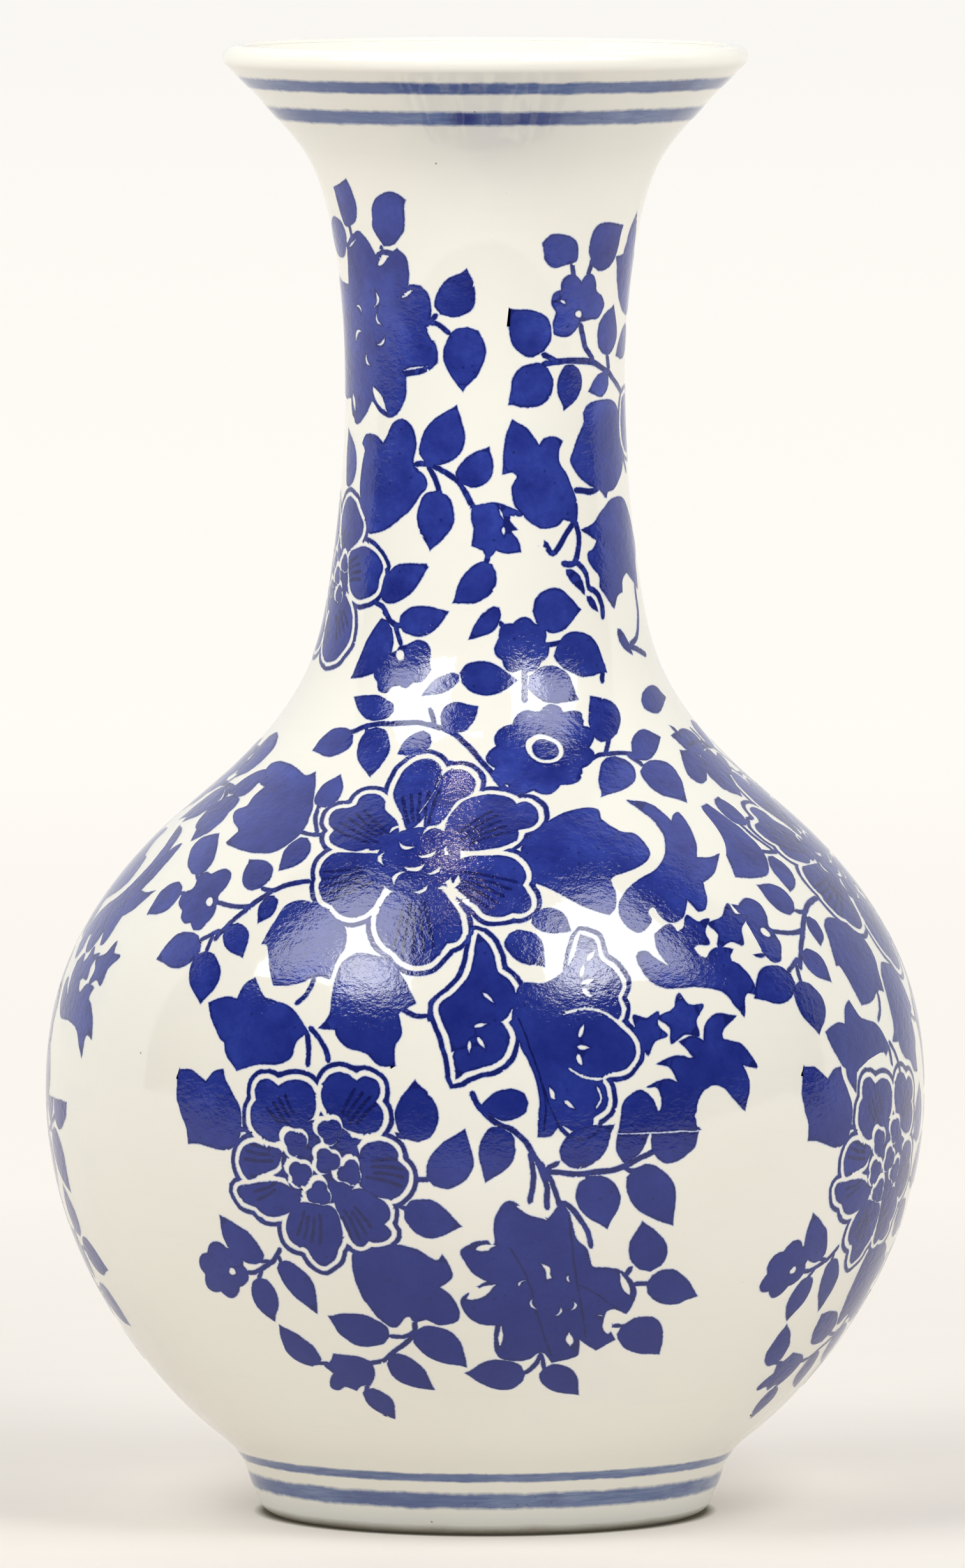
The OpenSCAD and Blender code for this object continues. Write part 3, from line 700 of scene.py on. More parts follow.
def neck_sheet_left():
    d = Drawing()
    d.stems(
        (0.8, (-38, 336), (-37, 332.5)), (1.0, (-40, 330), (-37, 332.6), (-33.5, 333.8)),
        (0.8, (-41, 331.5), (-39, 330.3)), (0.8, (-26, 331), (-25.8, 329)),
        (1.0, (-28.4, 328), (-25.6, 329.6), (-22, 329)), (1.0, (-20, 320.4), (-18, 321.4), (-15.4, 321.6)),
        (1.0, (-15, 312.6), (-13.3, 313.6), (-11.2, 315.4)),
        (0.9, (-13.3, 313.6), (-10.8, 313.2), (-8, 311)),
        (1.0, (-17, 281), (-13.5, 281), (-10, 279.5), (-6, 276.8), (-2.4, 271)),
        (0.9, (-13.6, 280.6), (-11.6, 277.5), (-10.4, 273.6)), (1.0, (0.8, 261), (0.2, 258)),
        (1.0, (5, 270), (9, 270)),
        (1.0, (-29.5, 249.3), (-25.5, 248), (-23.5, 245), (-21.5, 243.8), (-20, 244)),
        (0.9, (-21.7, 243.7), (-20.2, 239)), (0.8, (-25.3, 248), (-24.6, 246)),
    )
    d.leaves(
        (-14, 281.6, -6.6, 294.6, 9.6, -0.08), (-5.6, 276.8, 0.8, 285.2, 7.2, -0.1),
        (-11.2, 274.8, -12.8, 261.3, 8.8, 0.02), (1.6, 258, -7.5, 249.2, 7.2, 0.06),
        (3.2, 248.2, -3.7, 241, 4.0, 0.05), (-5.5, 232.8, 7.4, 231, 8.0, -0.04),
        (-6, 232.3, -14.5, 227.4, 3.6, 0), (-24, 244.8, -34.8, 230.8, 7.6, 0.12),
        (-25.6, 249.8, -13.1, 257.8, 7.2, 0.05), (-20.8, 244.2, -8.5, 247, 6.8, -0.04),
        (-10.2, 315.6, -4.2, 326, 8.6, -0.1), (-4, 312.6, -5.2, 298, 9.6, -0.02),
        (-40.9, 274.8, -42.6, 288, 6.6, -0.12),
    )
    outlines = {
        "bud": [
            (-2.8, 271.4, 0), (-1, 272), (2, 272.2), (5, 271.6), (6.6, 270.6), (5.4, 268.4), (7.4, 266.2, 0),
            (6, 265.6), (7.8, 263.4), (8.2, 261.2, 0), (5, 260.9), (2.4, 261.6, 0), (0.8, 259.8),
            (-0.6, 261.6, 0), (-3, 262.4, 0), (-2.6, 266), (-3.2, 268.6),
        ],
        "tulip": [
            (-33.9, 285.2, 0), (-32.4, 287), (-30, 287.3), (-28, 286.8), (-26.2, 285.3, 0), (-24.6, 287.6),
            (-23, 290), (-20.5, 291.2), (-18.2, 290), (-16.8, 287.4), (-16.7, 284.6), (-17.4, 282.2, 0),
            (-16.8, 280.4), (-14.2, 277.8), (-13.8, 275.8), (-15.5, 273.6), (-19, 269.8), (-23, 266.8),
            (-27, 265.2), (-30.6, 264.6), (-32, 267), (-33.8, 269.8), (-34.4, 273), (-34.6, 276.4),
            (-33.8, 280), (-32.8, 283.6),
        ],
        "blob": [
            (-26.9, 234.8, 0), (-24, 236.6), (-21.6, 237.6), (-20.4, 238.8), (-18.6, 239.2), (-15.8, 240.5),
            (-13.6, 239.6), (-12.9, 237.2), (-13.2, 235.4), (-13, 233), (-15, 230.8), (-17, 230.4),
            (-18.6, 229.2), (-20.5, 229.6), (-22.5, 229.4), (-24, 227.8), (-26, 228.2), (-26.2, 230.2),
            (-27.4, 232),
        ],
        "high_bud": [
            (-43.6, 344.6, 0), (-39.6, 345.8), (-37.4, 346.6, 0), (-35.6, 343.4), (-34.3, 339.6),
            (-34.8, 337), (-37, 335.8), (-39.6, 335.4), (-41.4, 337.6), (-42.8, 341),
        ],
        "next_bud": [
            (-18.9, 342.2, 0), (-21, 343.4), (-24, 343.9), (-27, 342.6), (-28.6, 340), (-28.6, 337),
            (-28.8, 335.6), (-26.4, 332.4), (-25.2, 331.1, 0), (-22.4, 331.6), (-20, 334.4), (-19.5, 337),
            (-19.6, 340.4),
        ],
        "left_bud": [
            (-40, 332.6, 0), (-40.4, 334.4), (-43, 336.6), (-46.6, 337.2), (-50.5, 335.6), (-52, 332),
            (-49, 328.8), (-45, 327.8), (-41.6, 328.8),
        ],
    }
    d.filled("leaves", outlines)
    d.white("leaves", ring(-20.4, 236.8, 1.35), leaf(4.2, 266.8, 4.4, 264.6, 1.1))
    d.white("leaves", leaf(3.2, 271, 4.2, 268.4, 0.8))
    # The pointed flower high on the neck.
    d.blue("flowers", smooth([
        (-39.6, 330.4), (-37, 332.6), (-34.2, 334.4, 0), (-31, 332.4), (-28.4, 329.2), (-26.6, 327.8, 0),
        (-23.6, 329), (-21.4, 330.4, 0), (-19.2, 328.4), (-18.6, 325), (-18.7, 321.2, 0), (-17, 321.2),
        (-15.2, 322, 0), (-13.4, 319.6), (-12.8, 316.4), (-13.4, 314.2), (-15, 313, 0), (-12.8, 311),
        (-11.2, 307.6), (-11.2, 304.4, 0), (-14.5, 302.2), (-19.2, 301, 0), (-19.4, 297), (-21, 293.4),
        (-24.2, 291.5), (-27.6, 293), (-30.2, 295.4, 0), (-33, 291.6), (-36.8, 289.6), (-39.4, 291.6),
        (-40.6, 295.4, 0), (-45, 295), (-50, 296.5), (-52, 300), (-50, 303), (-53, 307), (-56, 309, 0),
        (-54.5, 313), (-51, 315.4, 0), (-52.6, 319), (-50, 323, 0), (-46, 322), (-40.4, 321.4, 0),
        (-40.2, 325.6),
    ]))
    d.slivers((-27.6, 326.4, -23.6, 328.8, 1.6), (-39, 330.2, -35, 332.4, 1.0), (-20.4, 319, -17, 321, 1.4),
              (-30, 298.4, -24.8, 292.4, 2.6), (-39.6, 296.6, -37.8, 292.2, 1.6),
              (-20.2, 302.2, -13, 303.8, 0.8), (-13.8, 313, -11.6, 308.4, 1.2))
    d.crescents((-28.9, 318.6, -10, 1.2), (-35.6, 315.6, 60, 1.0), (-27, 314, 210, 1.1),
                (-35.8, 309.4, 130, 1.3), (-27, 309.2, -60, 1.1), (-31.4, 304.6, -150, 1.1))
    # The outlined flower low on the neck.
    d.outlined([
        [(-45, 266), (-42.6, 271), (-39.4, 272.4), (-36.4, 271.4, 0), (-34.6, 269), (-33, 266.4),
         (-34, 263.4), (-38.4, 260.6), (-42, 258.6)],
        [(-38.6, 258.6), (-35.4, 260.8), (-31, 261.2), (-27.4, 259.6), (-25.8, 257, 0), (-26.6, 254.6),
         (-27.6, 251.6), (-31, 249.6), (-34.8, 249.6), (-37.6, 252.6)],
        [(-41, 249.6), (-38, 248.6), (-36, 245.4), (-36, 241.6), (-37.6, 238), (-41.6, 235), (-46, 234.4),
         (-49.6, 236.4), (-50.6, 241), (-48.4, 246)],
        [(-60, 246), (-55, 248), (-52, 243), (-53, 238), (-57, 236), (-61, 238)],
        [(-56, 252), (-62, 252), (-64, 256), (-61.6, 260), (-57, 260.6), (-54, 258)],
        [(-52, 260), (-55.6, 265), (-54.6, 269.4), (-51, 271), (-47.4, 268), (-47.6, 262)],
    ], 2.15, 1.4)
    d.blue("flowers", ring(-46.5, 253, 7.6))
    d.clovers(3.2, (-41.5, 257.6, 20), (-43.6, 250.4, 20), (-48.4, 258, 20), (-50.4, 251.4, 20),
              (-45.6, 254.6, 20))
    d.petal_veins(-46.5, 253, (15, 70, -60, 195, 140, 250), 7.5, 16, 8, 4)
    return d.shapes


def neck_sheet_right():
    d = Drawing()
    d.stems(
        (1.1, (22, 274.8), (26, 274.3), (30, 275)), (1.0, (22, 268), (19, 264), (16.3, 260.6), (14, 263.2)),
        (1.1, (22.2, 268), (23.2, 263), (22, 258.2), (18.5, 258.2)),
        (1.0, (22.5, 258.4), (25.2, 255.5), (26, 252.5), (29, 250.6), (30.2, 247.5), (30.2, 245)),
        (1.0, (29.8, 234.5), (29.2, 230)), (0.9, (14, 239.3), (18.5, 240)), (0.9, (3.4, 245), (4.6, 243)),
        (1.1, (46, 252), (46.4, 246), (44.2, 240.4), (40, 238.2)), (1.0, (39, 238.4), (48, 235.6)),
        (1.1, (13, 303.4), (17, 304.4), (27, 304.1), (34, 301.8)), (1.0, (13.4, 306.4), (17, 304.4)),
        (1.1, (24, 313), (25.4, 308), (28.4, 304.2)), (1.0, (33.8, 305.6), (34.6, 302)),
        (1.1, (34, 301.8), (39, 298.6), (43.6, 295.8)), (0.9, (21, 327), (22, 323)),
        (1.0, (26, 324), (27.4, 328)), (0.9, (41.5, 283), (46, 278)), (1.0, (9, 236), (9.2, 225.5)),
    )
    d.leaves(
        (11.2, 247.2, 23.3, 247.3, 10, 0.01), (17, 239.4, 30.6, 232.6, 10, 0.04),
        (10.2, 231.8, 22, 226, 8.8, 0.05), (14.8, 302.8, 5.3, 294.8, 9.6, 0.04),
        (21.6, 303.6, 19.2, 293.3, 6.8, 0.02), (34.4, 300.4, 26.8, 297.4, 5.2, 0.06),
        (13.6, 307, 5.8, 316.6, 10, -0.03), (32, 305.8, 36.4, 317, 8.6, -0.03),
        (27.4, 326.8, 38.8, 335.4, 10.4, 0.06), (48, 311, 38.4, 305, 6.5, 0.05),
        (19.8, 256.6, 24.6, 251, 2.2, 0.05), (25.4, 250.4, 28.8, 246.8, 1.6, 0),
        (35.6, 242.2, 41, 236, 2.4, -0.05), (42, 224.5, 54, 225, 6.8, 0),
    )
    outlines = {
        "heart": [
            (4, 279, 0), (4.3, 283.5), (5, 288), (6.4, 291.2, 0), (9.4, 289.4), (11.6, 287),
            (12.6, 285.3, 0), (14, 286.8), (16.4, 287.3), (18.6, 286.2, 0), (17.7, 284), (17.8, 281),
            (20, 278), (21.8, 274.2), (22.8, 270.8), (22.8, 268.4), (21.6, 267.6), (18.8, 268.4, 0),
            (16.5, 266.8), (14, 266.3), (11.4, 267.2), (8.6, 270), (7, 272), (6.2, 275.4), (7.6, 278),
            (6.4, 279.2),
        ],
        "broad": [
            (24.8, 292.6, 0), (26.5, 294.4), (31, 295.1), (36, 294.8), (39.4, 292.8), (40.2, 289),
            (41.6, 284), (42.4, 280), (40.4, 277.4), (36.8, 274.8), (33.6, 274.2), (33, 272.4, 0),
            (31.4, 273.8), (29.6, 275), (26.4, 276), (23.4, 278), (21, 281.4), (22.2, 284.6), (23.4, 287.6),
            (25.2, 290.2, 0),
        ],
        "lobed": [
            (24, 265.7, 0), (26.5, 264.2), (28.8, 263.2, 0), (27.8, 261), (25.8, 260), (26.6, 257.6),
            (29.4, 254.8), (29.6, 252.4, 0), (32, 249.6), (34.4, 247.4, 0), (36, 250), (38.2, 250.8, 0),
            (38.6, 253.4), (41, 255.2, 0), (44, 253.4), (48.5, 251, 0), (49, 257), (52, 261, 0), (48, 266),
            (42, 271.8), (36, 272.4), (31, 269.6), (28, 267),
        ],
        "tall_bud": [
            (13.6, 332, 0), (15.4, 333.6), (18.4, 333.9), (21.6, 332.8), (22.8, 330.4), (22.4, 327.8),
            (20.4, 327), (18.6, 326.6), (16.4, 326.2), (14.2, 327.8), (13.9, 330.2),
        ],
        "edge": [
            (36.8, 328.3, 0), (40.6, 328.6, 0), (43, 334), (46.6, 338.2, 0), (48.6, 333), (49.8, 328, 0),
            (54, 328.4, 0), (53.4, 322), (51, 317), (46.5, 314.2), (42, 315.6), (38.6, 320), (37.4, 325),
        ],
    }
    d.filled("leaves", outlines)
    d.blue("flowers", ring(8.6, 239.4, 6.5, 7, 0.16, 10))
    d.blue("flowers", smooth([
        (16.6, 310.9, 0), (18.6, 310.3), (21, 310.6), (23, 312.2), (24, 313.6, 0), (27, 314), (30, 314.4),
        (32, 316.8), (31.2, 319), (29, 320.4), (28.6, 322.4), (27.4, 324.2), (25.4, 324), (23.9, 322.4, 0),
        (22.6, 324), (20.4, 324.4), (18.6, 322.8), (18.4, 320.8), (16.6, 320), (16, 317.8), (17.2, 315.8),
        (16.3, 313.4),
    ]))
    d.white("flowers", ring(23.4, 315.2, 1.1), leaf(18, 318.6, 19.9, 317.6, 0.9))
    d.outlined([
        [(43.4, 295), (42, 291), (42.2, 286.6), (44.4, 283.6), (48, 282.4), (52, 284), (54, 288), (52, 292.6),
         (48, 295.6)],
    ], 2.15, 1.4)
    return d.shapes


# ---------------------------------------------------------------- cutting and wrapping the prints

# The pale fringe runs this far past a print's edge, which is drawn in a little.
HALO = 0.46
DRAWN_IN = 0.06
# The hand's unsteadiness: how far it strays, over what distance, where in the noise, and the noise's seed.
HAND = 0.3
HAND_REACH = 3.2
HAND_LEVEL = 1.7
HAND_SEED = 7
# How far a print stands off the wall in its middle and at its edge.
LIFT = 0.085
EDGE_LIFT = 0.012
TILT_ABOUT = np.array([-45.0, 115.0])
noise.seed_set(HAND_SEED)
# Inner points lie on an even triangle grid of this spacing, so that the prints follow the round wall.
BODY_GRID = 2.6
NECK_GRID = 2.2
GRID_ROWS = 0.87
GRID_INSET = 0.4


def inside(outline, points):
    """Which points lie within an outline, by winding."""
    a = np.array(outline)
    b = np.roll(a, -1, 0)
    turns = np.zeros(len(points), int)
    x, y = points[:, 0], points[:, 1]
    for (x0, y0), (x1, y1) in zip(a, b):
        left = (x1 - x0) * (y - y0) - (x - x0) * (y1 - y0)
        turns += ((y0 <= y) & (y1 > y) & (left > 0)).astype(int)
        turns -= ((y0 > y) & (y1 <= y) & (left < 0)).astype(int)
    return turns != 0


def cut(shapes, spacing):
    """Cuts overlapping shapes into triangles.

    Each group gets its points, their outward push, its triangles, which are veins, and its edges.
    """
    points, edges = [], []
    for _, _, outline in shapes:
        start = len(points)
        points += [tuple(p[:2]) for p in outline]
        edges += [(start + i, start + (i + 1) % len(outline)) for i in range(len(outline))]
    low, high = np.min(points, 0), np.max(points, 0)
    rows = []
    for j, y in enumerate(np.arange(low[1] + GRID_INSET, high[1], spacing * GRID_ROWS)):
        x = np.arange(low[0] + GRID_INSET + (j % 2) * spacing / 2, high[0], spacing)
        rows.append(np.stack([x, np.full_like(x, y)], -1))
    grid = np.vstack(rows)
    used = np.zeros(len(grid), bool)
    for kind, _, outline in shapes:
        if kind == "B":
            o = np.array(outline)
            near = np.all((grid > o.min(0)) & (grid < o.max(0)), axis=1) & ~used
            used[near] = inside(outline, grid[near])
    points += [tuple(p) for p in grid[used].tolist()]
    made = delaunay_2d_cdt([Vector(p) for p in points], edges, [], 0, 1e-4, False)
    flat = np.array([tuple(v) for v in made[0]])
    shaky = [noise.noise_vector(Vector((x / HAND_REACH, y / HAND_REACH, HAND_LEVEL))) for x, y in flat]
    flat = flat + HAND * np.array([v[:2] for v in shaky])
    triangles = np.array([f for f in made[2] if len(f) == 3])
    centre = flat[triangles].mean(1)
    kinds, groups = np.zeros(len(triangles), int), np.full(len(triangles), "", object)
    for kind, group, outline in shapes:
        o = np.array(outline)
        near = np.nonzero(np.all((centre > o.min(0)) & (centre < o.max(0)), axis=1))[0]
        hit = near[inside(outline, centre[near])]
        if kind == "B":
            kinds[hit], groups[hit] = 1, group
        elif kind == "W":
            kinds[hit] = 0
        else:
            kinds[hit] = np.where(kinds[hit] == 1, 2, kinds[hit])
    inked = kinds > 0
    triangles, kinds, groups = triangles[inked], kinds[inked], groups[inked]
    first, second, third = (flat[triangles[:, k]] for k in range(3))
    crossing = np.cross(second - first, third - first)
    triangles[crossing < 0] = triangles[crossing < 0][:, ::-1]
    owner = {}
    for t, (a, b, c) in enumerate(triangles.tolist()):
        for edge in ((a, b), (b, c), (c, a)):
            owner[edge] = t
    rim = [(a, b, t) for (a, b), t in owner.items() if (b, a) not in owner]
    push = np.zeros_like(flat)
    for a, b, _ in rim:
        d = flat[b] - flat[a]
        out = np.array([d[1], -d[0]]) / max(math.hypot(*d), TINY)
        push[a] += out
        push[b] += out
    size = np.hypot(*push.T)
    push /= np.maximum(size, TINY)[:, None]
    push *= np.minimum(2 / np.maximum(size, TINY), 1.5)[:, None]
    out = {}
    for group in sorted(set(groups)):
        mine = groups == group
        edge = [(a, b) for a, b, t in rim if groups[t] == group]
        out[group] = (flat, push, triangles[mine], kinds[mine] == 2, edge)
    return out


def set_values(mesh, name, domain, values):
    """Gives a mesh a named value at each point or corner, for its material to read."""
    mesh.attributes.new(name, "FLOAT", domain).data.foreach_set("value", np.array(values, np.float32))


def printed(name, piece, turn, shift, tilt, node, material):
    """Wraps one cut group on the wall, with a pale fringe round it where the cobalt bled."""
    flat, push, triangles, veins, edge = piece
    c, s = math.cos(math.radians(tilt)), math.sin(math.radians(tilt))
    swing = np.array([[c, s], [-s, c]])
    used = np.unique(triangles)
    new = np.full(len(flat), -1)
    new[used] = np.arange(len(used))
    rim = sorted({p for e in edge for p in e})
    fringe = {p: len(used) + i for i, p in enumerate(rim)}
    on_rim = np.isin(used, rim)
    inner = flat[used] - DRAWN_IN * push[used] * on_rim[:, None]
    spots = np.vstack([inner, flat[rim] + HALO * push[rim]]) if rim else inner
    lift = np.concatenate([np.full(len(used), LIFT), np.full(len(rim), EDGE_LIFT)])
    ink = np.concatenate([np.ones(len(used)), np.zeros(len(rim))])
    core = np.concatenate([np.where(on_rim, 0.0, 1.0), np.zeros(len(rim))])
    spots = (spots - TILT_ABOUT) @ swing + TILT_ABOUT + shift
    place, outward = on_wall(turn, spots[:, 0], spots[:, 1], lift)
    faces = new[triangles].tolist() + [
        [int(new[b]), int(new[a]), fringe[a], fringe[b]] for a, b in edge
    ]
    mesh = bpy.data.meshes.new(name)
    mesh.from_pydata(place.tolist(), [], faces)
    mesh.shade_smooth()
    set_values(mesh, "ink", "POINT", ink)
    set_values(mesh, "core", "POINT", core)
    dark = np.concatenate([np.repeat(veins, 3), np.zeros(4 * len(edge), bool)])
    set_values(mesh, "vein", "CORNER", dark)
    mesh.normals_split_custom_set_from_vertices(outward.tolist())
    finished(name, mesh, node, material)


# A painted line is this many steps long and across. It is built past its edges, where it fades out.
LINE_STEPS, LINE_ACROSS = 720, 13
LINE_REACH = 1.3
LINE_FADE = 0.62
LINE_LIFT = 0.075


def painted_line(name, node, z_low, z_high, seed, wander, blots, material):
    """A brushed line round the vase: its edges wander and its colour pools, thins and blots."""
    steps, across = LINE_STEPS, LINE_ACROSS
    mid, half = (arc_at(z_low) + arc_at(z_high)) / 2, (arc_at(z_high) - arc_at(z_low)) / 2
    place, outward, ink, load = [], [], [], []
    for k in range(steps):
        a = 2 * math.pi * k / steps
        blot = 0.0
        for at, wide, strength in blots:
            off = (math.degrees(a) - at + 180) % 360 - 180
            blot = max(blot, strength * math.exp(-(off / wide) ** 2))
        around = Vector((math.cos(a), math.sin(a), seed))
        beside = around * 8 + Vector((0, 0, 5))
        top = half + wander * noise.noise(around * 9) + 0.5 * wander * noise.noise(around * 30)
        foot = half + wander * noise.noise(beside) + 0.5 * wander * noise.noise(around * 27)
        full = 0.92 + 0.2 * noise.noise(around * 5) + 0.06 * noise.noise(around * 40)
        for j in range(across):
            v = -LINE_REACH + 2 * LINE_REACH * j / (across - 1)
            edge = min(1.0, max(0.0, (LINE_REACH - abs(v)) / LINE_FADE))
            s = mid + v * (top if v > 0 else foot)
            p, n = on_wall(math.degrees(a), 0.0, s, EDGE_LIFT + LINE_LIFT * edge)
            place.append(p.tolist())
            outward.append(n.tolist())
            pool = full + 0.1 * noise.noise(Vector((math.cos(a) * 30, math.sin(a) * 30, s + seed)))
            ink.append(max(0.0, min(1.0, edge * pool)))
            load.append(min(1.0, blot) * edge)
    faces = []
    for k in range(steps):
        here, ahead = k * across, (k + 1) % steps * across
        faces += [(here + j, ahead + j, ahead + j + 1, here + j + 1) for j in range(across - 1)]
    mesh = bpy.data.meshes.new(name)
    mesh.from_pydata(place, [], faces)
    mesh.shade_smooth()
    set_values(mesh, "ink", "POINT", ink)
    set_values(mesh, "load", "POINT", load)
    mesh.normals_split_custom_set_from_vertices(outward)
    finished(name, mesh, node, material)


# ---------------------------------------------------------------- materials

# Colours are linear red, green and blue.
GLAZE_IOR = 1.52
GLAZE_PALE, GLAZE_BRIGHT, GLAZE_HAZE = (0.775, 0.75, 0.665), (0.80, 0.785, 0.71), (0.60, 0.63, 0.70)
# A faint grey smudge on the front, near the lower mouth line, in metres.
SMUDGE_AT = (0.004, -0.046, 0.321)


class Shader:
    """Builds one material's nodes. Every texture is read in the vase's own space, in metres."""

    def __init__(self, name):
        self.material = bpy.data.materials.new(name)
        self.material.use_nodes = True
        self.tree = self.material.node_tree
        self.tree.nodes.clear()
        self.end = self.tree.nodes.new("ShaderNodeOutputMaterial")
        self.surface = self.tree.nodes.new("ShaderNodeBsdfPrincipled")
        self.tree.links.new(self.surface.outputs[0], self.end.inputs[0])
        self.space = self.tree.nodes.new("ShaderNodeTexCoord").outputs["Object"]

    def put(self, socket, value):
        if isinstance(value, bpy.types.NodeSocket):
            self.tree.links.new(value, socket)
        elif isinstance(value, tuple) and len(value) == 3 and socket.type == "RGBA":
            socket.default_value = (*value, 1.0)
        else:
            socket.default_value = value

    def node(self, kind, inputs, **settings):
        made = self.tree.nodes.new(kind)
        for key, value in settings.items():
            setattr(made, key, value)
        for key, value in inputs.items():
            self.put(made.inputs[key], value)
        return made

    def stretched(self, x, y, z):
        return self.node("ShaderNodeMapping", {"Vector": self.space, "Scale": (x, y, z)}).outputs[0]

    def noise(self, scale, detail=3.0, rough=0.55, space=None):
        inputs = {"Vector": space or self.space, "Scale": scale, "Detail": detail, "Roughness": rough}
        return self.node("ShaderNodeTexNoise", inputs).outputs[0]

    def spots(self, scale, size, soft, few):
        """Small round specks: 1 in a speck, and 0 elsewhere. few is the share of cells left empty."""
        cells = self.node("ShaderNodeTexVoronoi", {"Vector": self.space, "Scale": scale})
        dot = self.ramp(cells.outputs["Distance"], (size, 1.0), (size + soft, 0.0))
        some = self.node("ShaderNodeSeparateColor", {"Color": cells.outputs["Color"]}).outputs[0]
        return self.times(dot, self.ramp(some, (few, 0.0), (min(few + 0.02, 1.0), 1.0)))

    def ramp(self, factor, *stops):
        """Runs straight from one (input, output) stop to the other, and level past both."""
        made = self.node("ShaderNodeMapRange", {"Value": factor}, clamp=True)
        (a, va), (b, vb) = stops
        for key, value in (("From Min", a), ("From Max", b), ("To Min", va), ("To Max", vb)):
            made.inputs[key].default_value = value
        return made.outputs[0]

    def times(self, a, b):
        return self.node("ShaderNodeMath", {0: a, 1: b}, operation="MULTIPLY").outputs[0]

    def plus(self, a, b):
        return self.node("ShaderNodeMath", {0: a, 1: b}, operation="ADD").outputs[0]

    def mix(self, factor, a, b):
        return self.node("ShaderNodeMix", {0: factor, 6: a, 7: b}, data_type="RGBA").outputs[2]

    def height(self):
        return self.node("ShaderNodeSeparateXYZ", {"Vector": self.space}).outputs[2]

    def attribute(self, name):
        made = self.node("ShaderNodeAttribute", {}, attribute_name=name, attribute_type="GEOMETRY")
        return made.outputs["Fac"]

    def bump(self, height, distance, strength=1.0, under=None):
        inputs = {"Height": height, "Distance": distance, "Strength": strength}
        if under:
            inputs["Normal"] = under
        return self.node("ShaderNodeBump", inputs).outputs[0]

    def finish(self, colour, rough, normal, **constants):
        self.put(self.surface.inputs["Base Color"], colour)
        self.put(self.surface.inputs["Roughness"], rough)
        self.put(self.surface.inputs["Normal"], normal)
        for key, value in constants.items():
            self.surface.inputs[key.replace("_", " ")].default_value = value
        return self.material


def glaze_colour(s):
    """Milky glaze: slow drifts of tone, faint cobalt haze, brown and blue-grey specks, a cooler foot."""
    drift = s.ramp(s.noise(9, 2), (0.35, 0.0), (0.65, 1.0))
    colour = s.mix(drift, GLAZE_PALE, GLAZE_BRIGHT)
    haze = s.ramp(s.noise(16, 4, 0.6, s.stretched(1, 1, 1.6)), (0.62, 0.0), (0.82, 0.22))
    colour = s.mix(haze, colour, GLAZE_HAZE)
    away = s.node("ShaderNodeVectorMath", {0: s.space, 1: SMUDGE_AT}, operation="DISTANCE")
    smudge = s.times(s.ramp(away.outputs["Value"], (0.006, 0.35), (0.026, 0.0)), s.noise(90, 3))
    colour = s.mix(smudge, colour, (0.50, 0.54, 0.62))
    wiped = s.ramp(s.noise(6, 5, 0.7, s.stretched(3, 3, 60)), (0.55, 0.0), (0.75, 0.1))
    colour = s.mix(wiped, colour, (0.62, 0.62, 0.60))
    low = s.ramp(s.height(), (0.001, 0.5), (0.008, 0.0))
    colour = s.mix(low, colour, (0.52, 0.58, 0.60))
    colour = s.mix(s.times(s.spots(90, 0.018, 0.012, 0.55), 0.7), colour, (0.16, 0.11, 0.07))
    return s.mix(s.times(s.spots(150, 0.016, 0.016, 0.7), 0.4), colour, (0.25, 0.28, 0.40))


def glaze_normal(s):
    """The faint ripple and the fine orange peel of a fired glaze."""
    ripple = s.noise(120, 2, 0.5)
    fine = s.noise(520, 2, 0.5)
    return s.bump(fine, 0.00002, 0.6, s.bump(ripple, 0.00007, 0.7))


def white_glaze():
    """The glaze of every section but the foot ring."""
    s = Shader("white_glaze")
    rough = s.ramp(s.noise(40, 3), (0.3, 0.015), (0.7, 0.04))
    return s.finish(glaze_colour(s), rough, glaze_normal(s), IOR=GLAZE_IOR)


def foot_glaze():
    """The glaze of the foot ring: wiped to bare grey clay where the vase stands."""
    s = Shader("foot_glaze")
    ragged = s.plus(s.height(), s.ramp(s.noise(60, 4), (0.3, -0.0005), (0.7, 0.0005)))
    bare = s.ramp(ragged, (0.0009, 0.9), (0.0026, 0.0))
    clay = s.mix(s.noise(300, 5, 0.7), (0.30, 0.27, 0.21), (0.50, 0.46, 0.38))
    colour = s.mix(bare, glaze_colour(s), clay)
    rough = s.plus(s.ramp(s.noise(40, 3), (0.3, 0.05), (0.7, 0.12)), s.times(bare, 0.55))
    normal = s.bump(s.noise(500, 4, 0.6), 0.00008, 0.5, glaze_normal(s))
    return s.finish(colour, rough, normal, IOR=GLAZE_IOR)


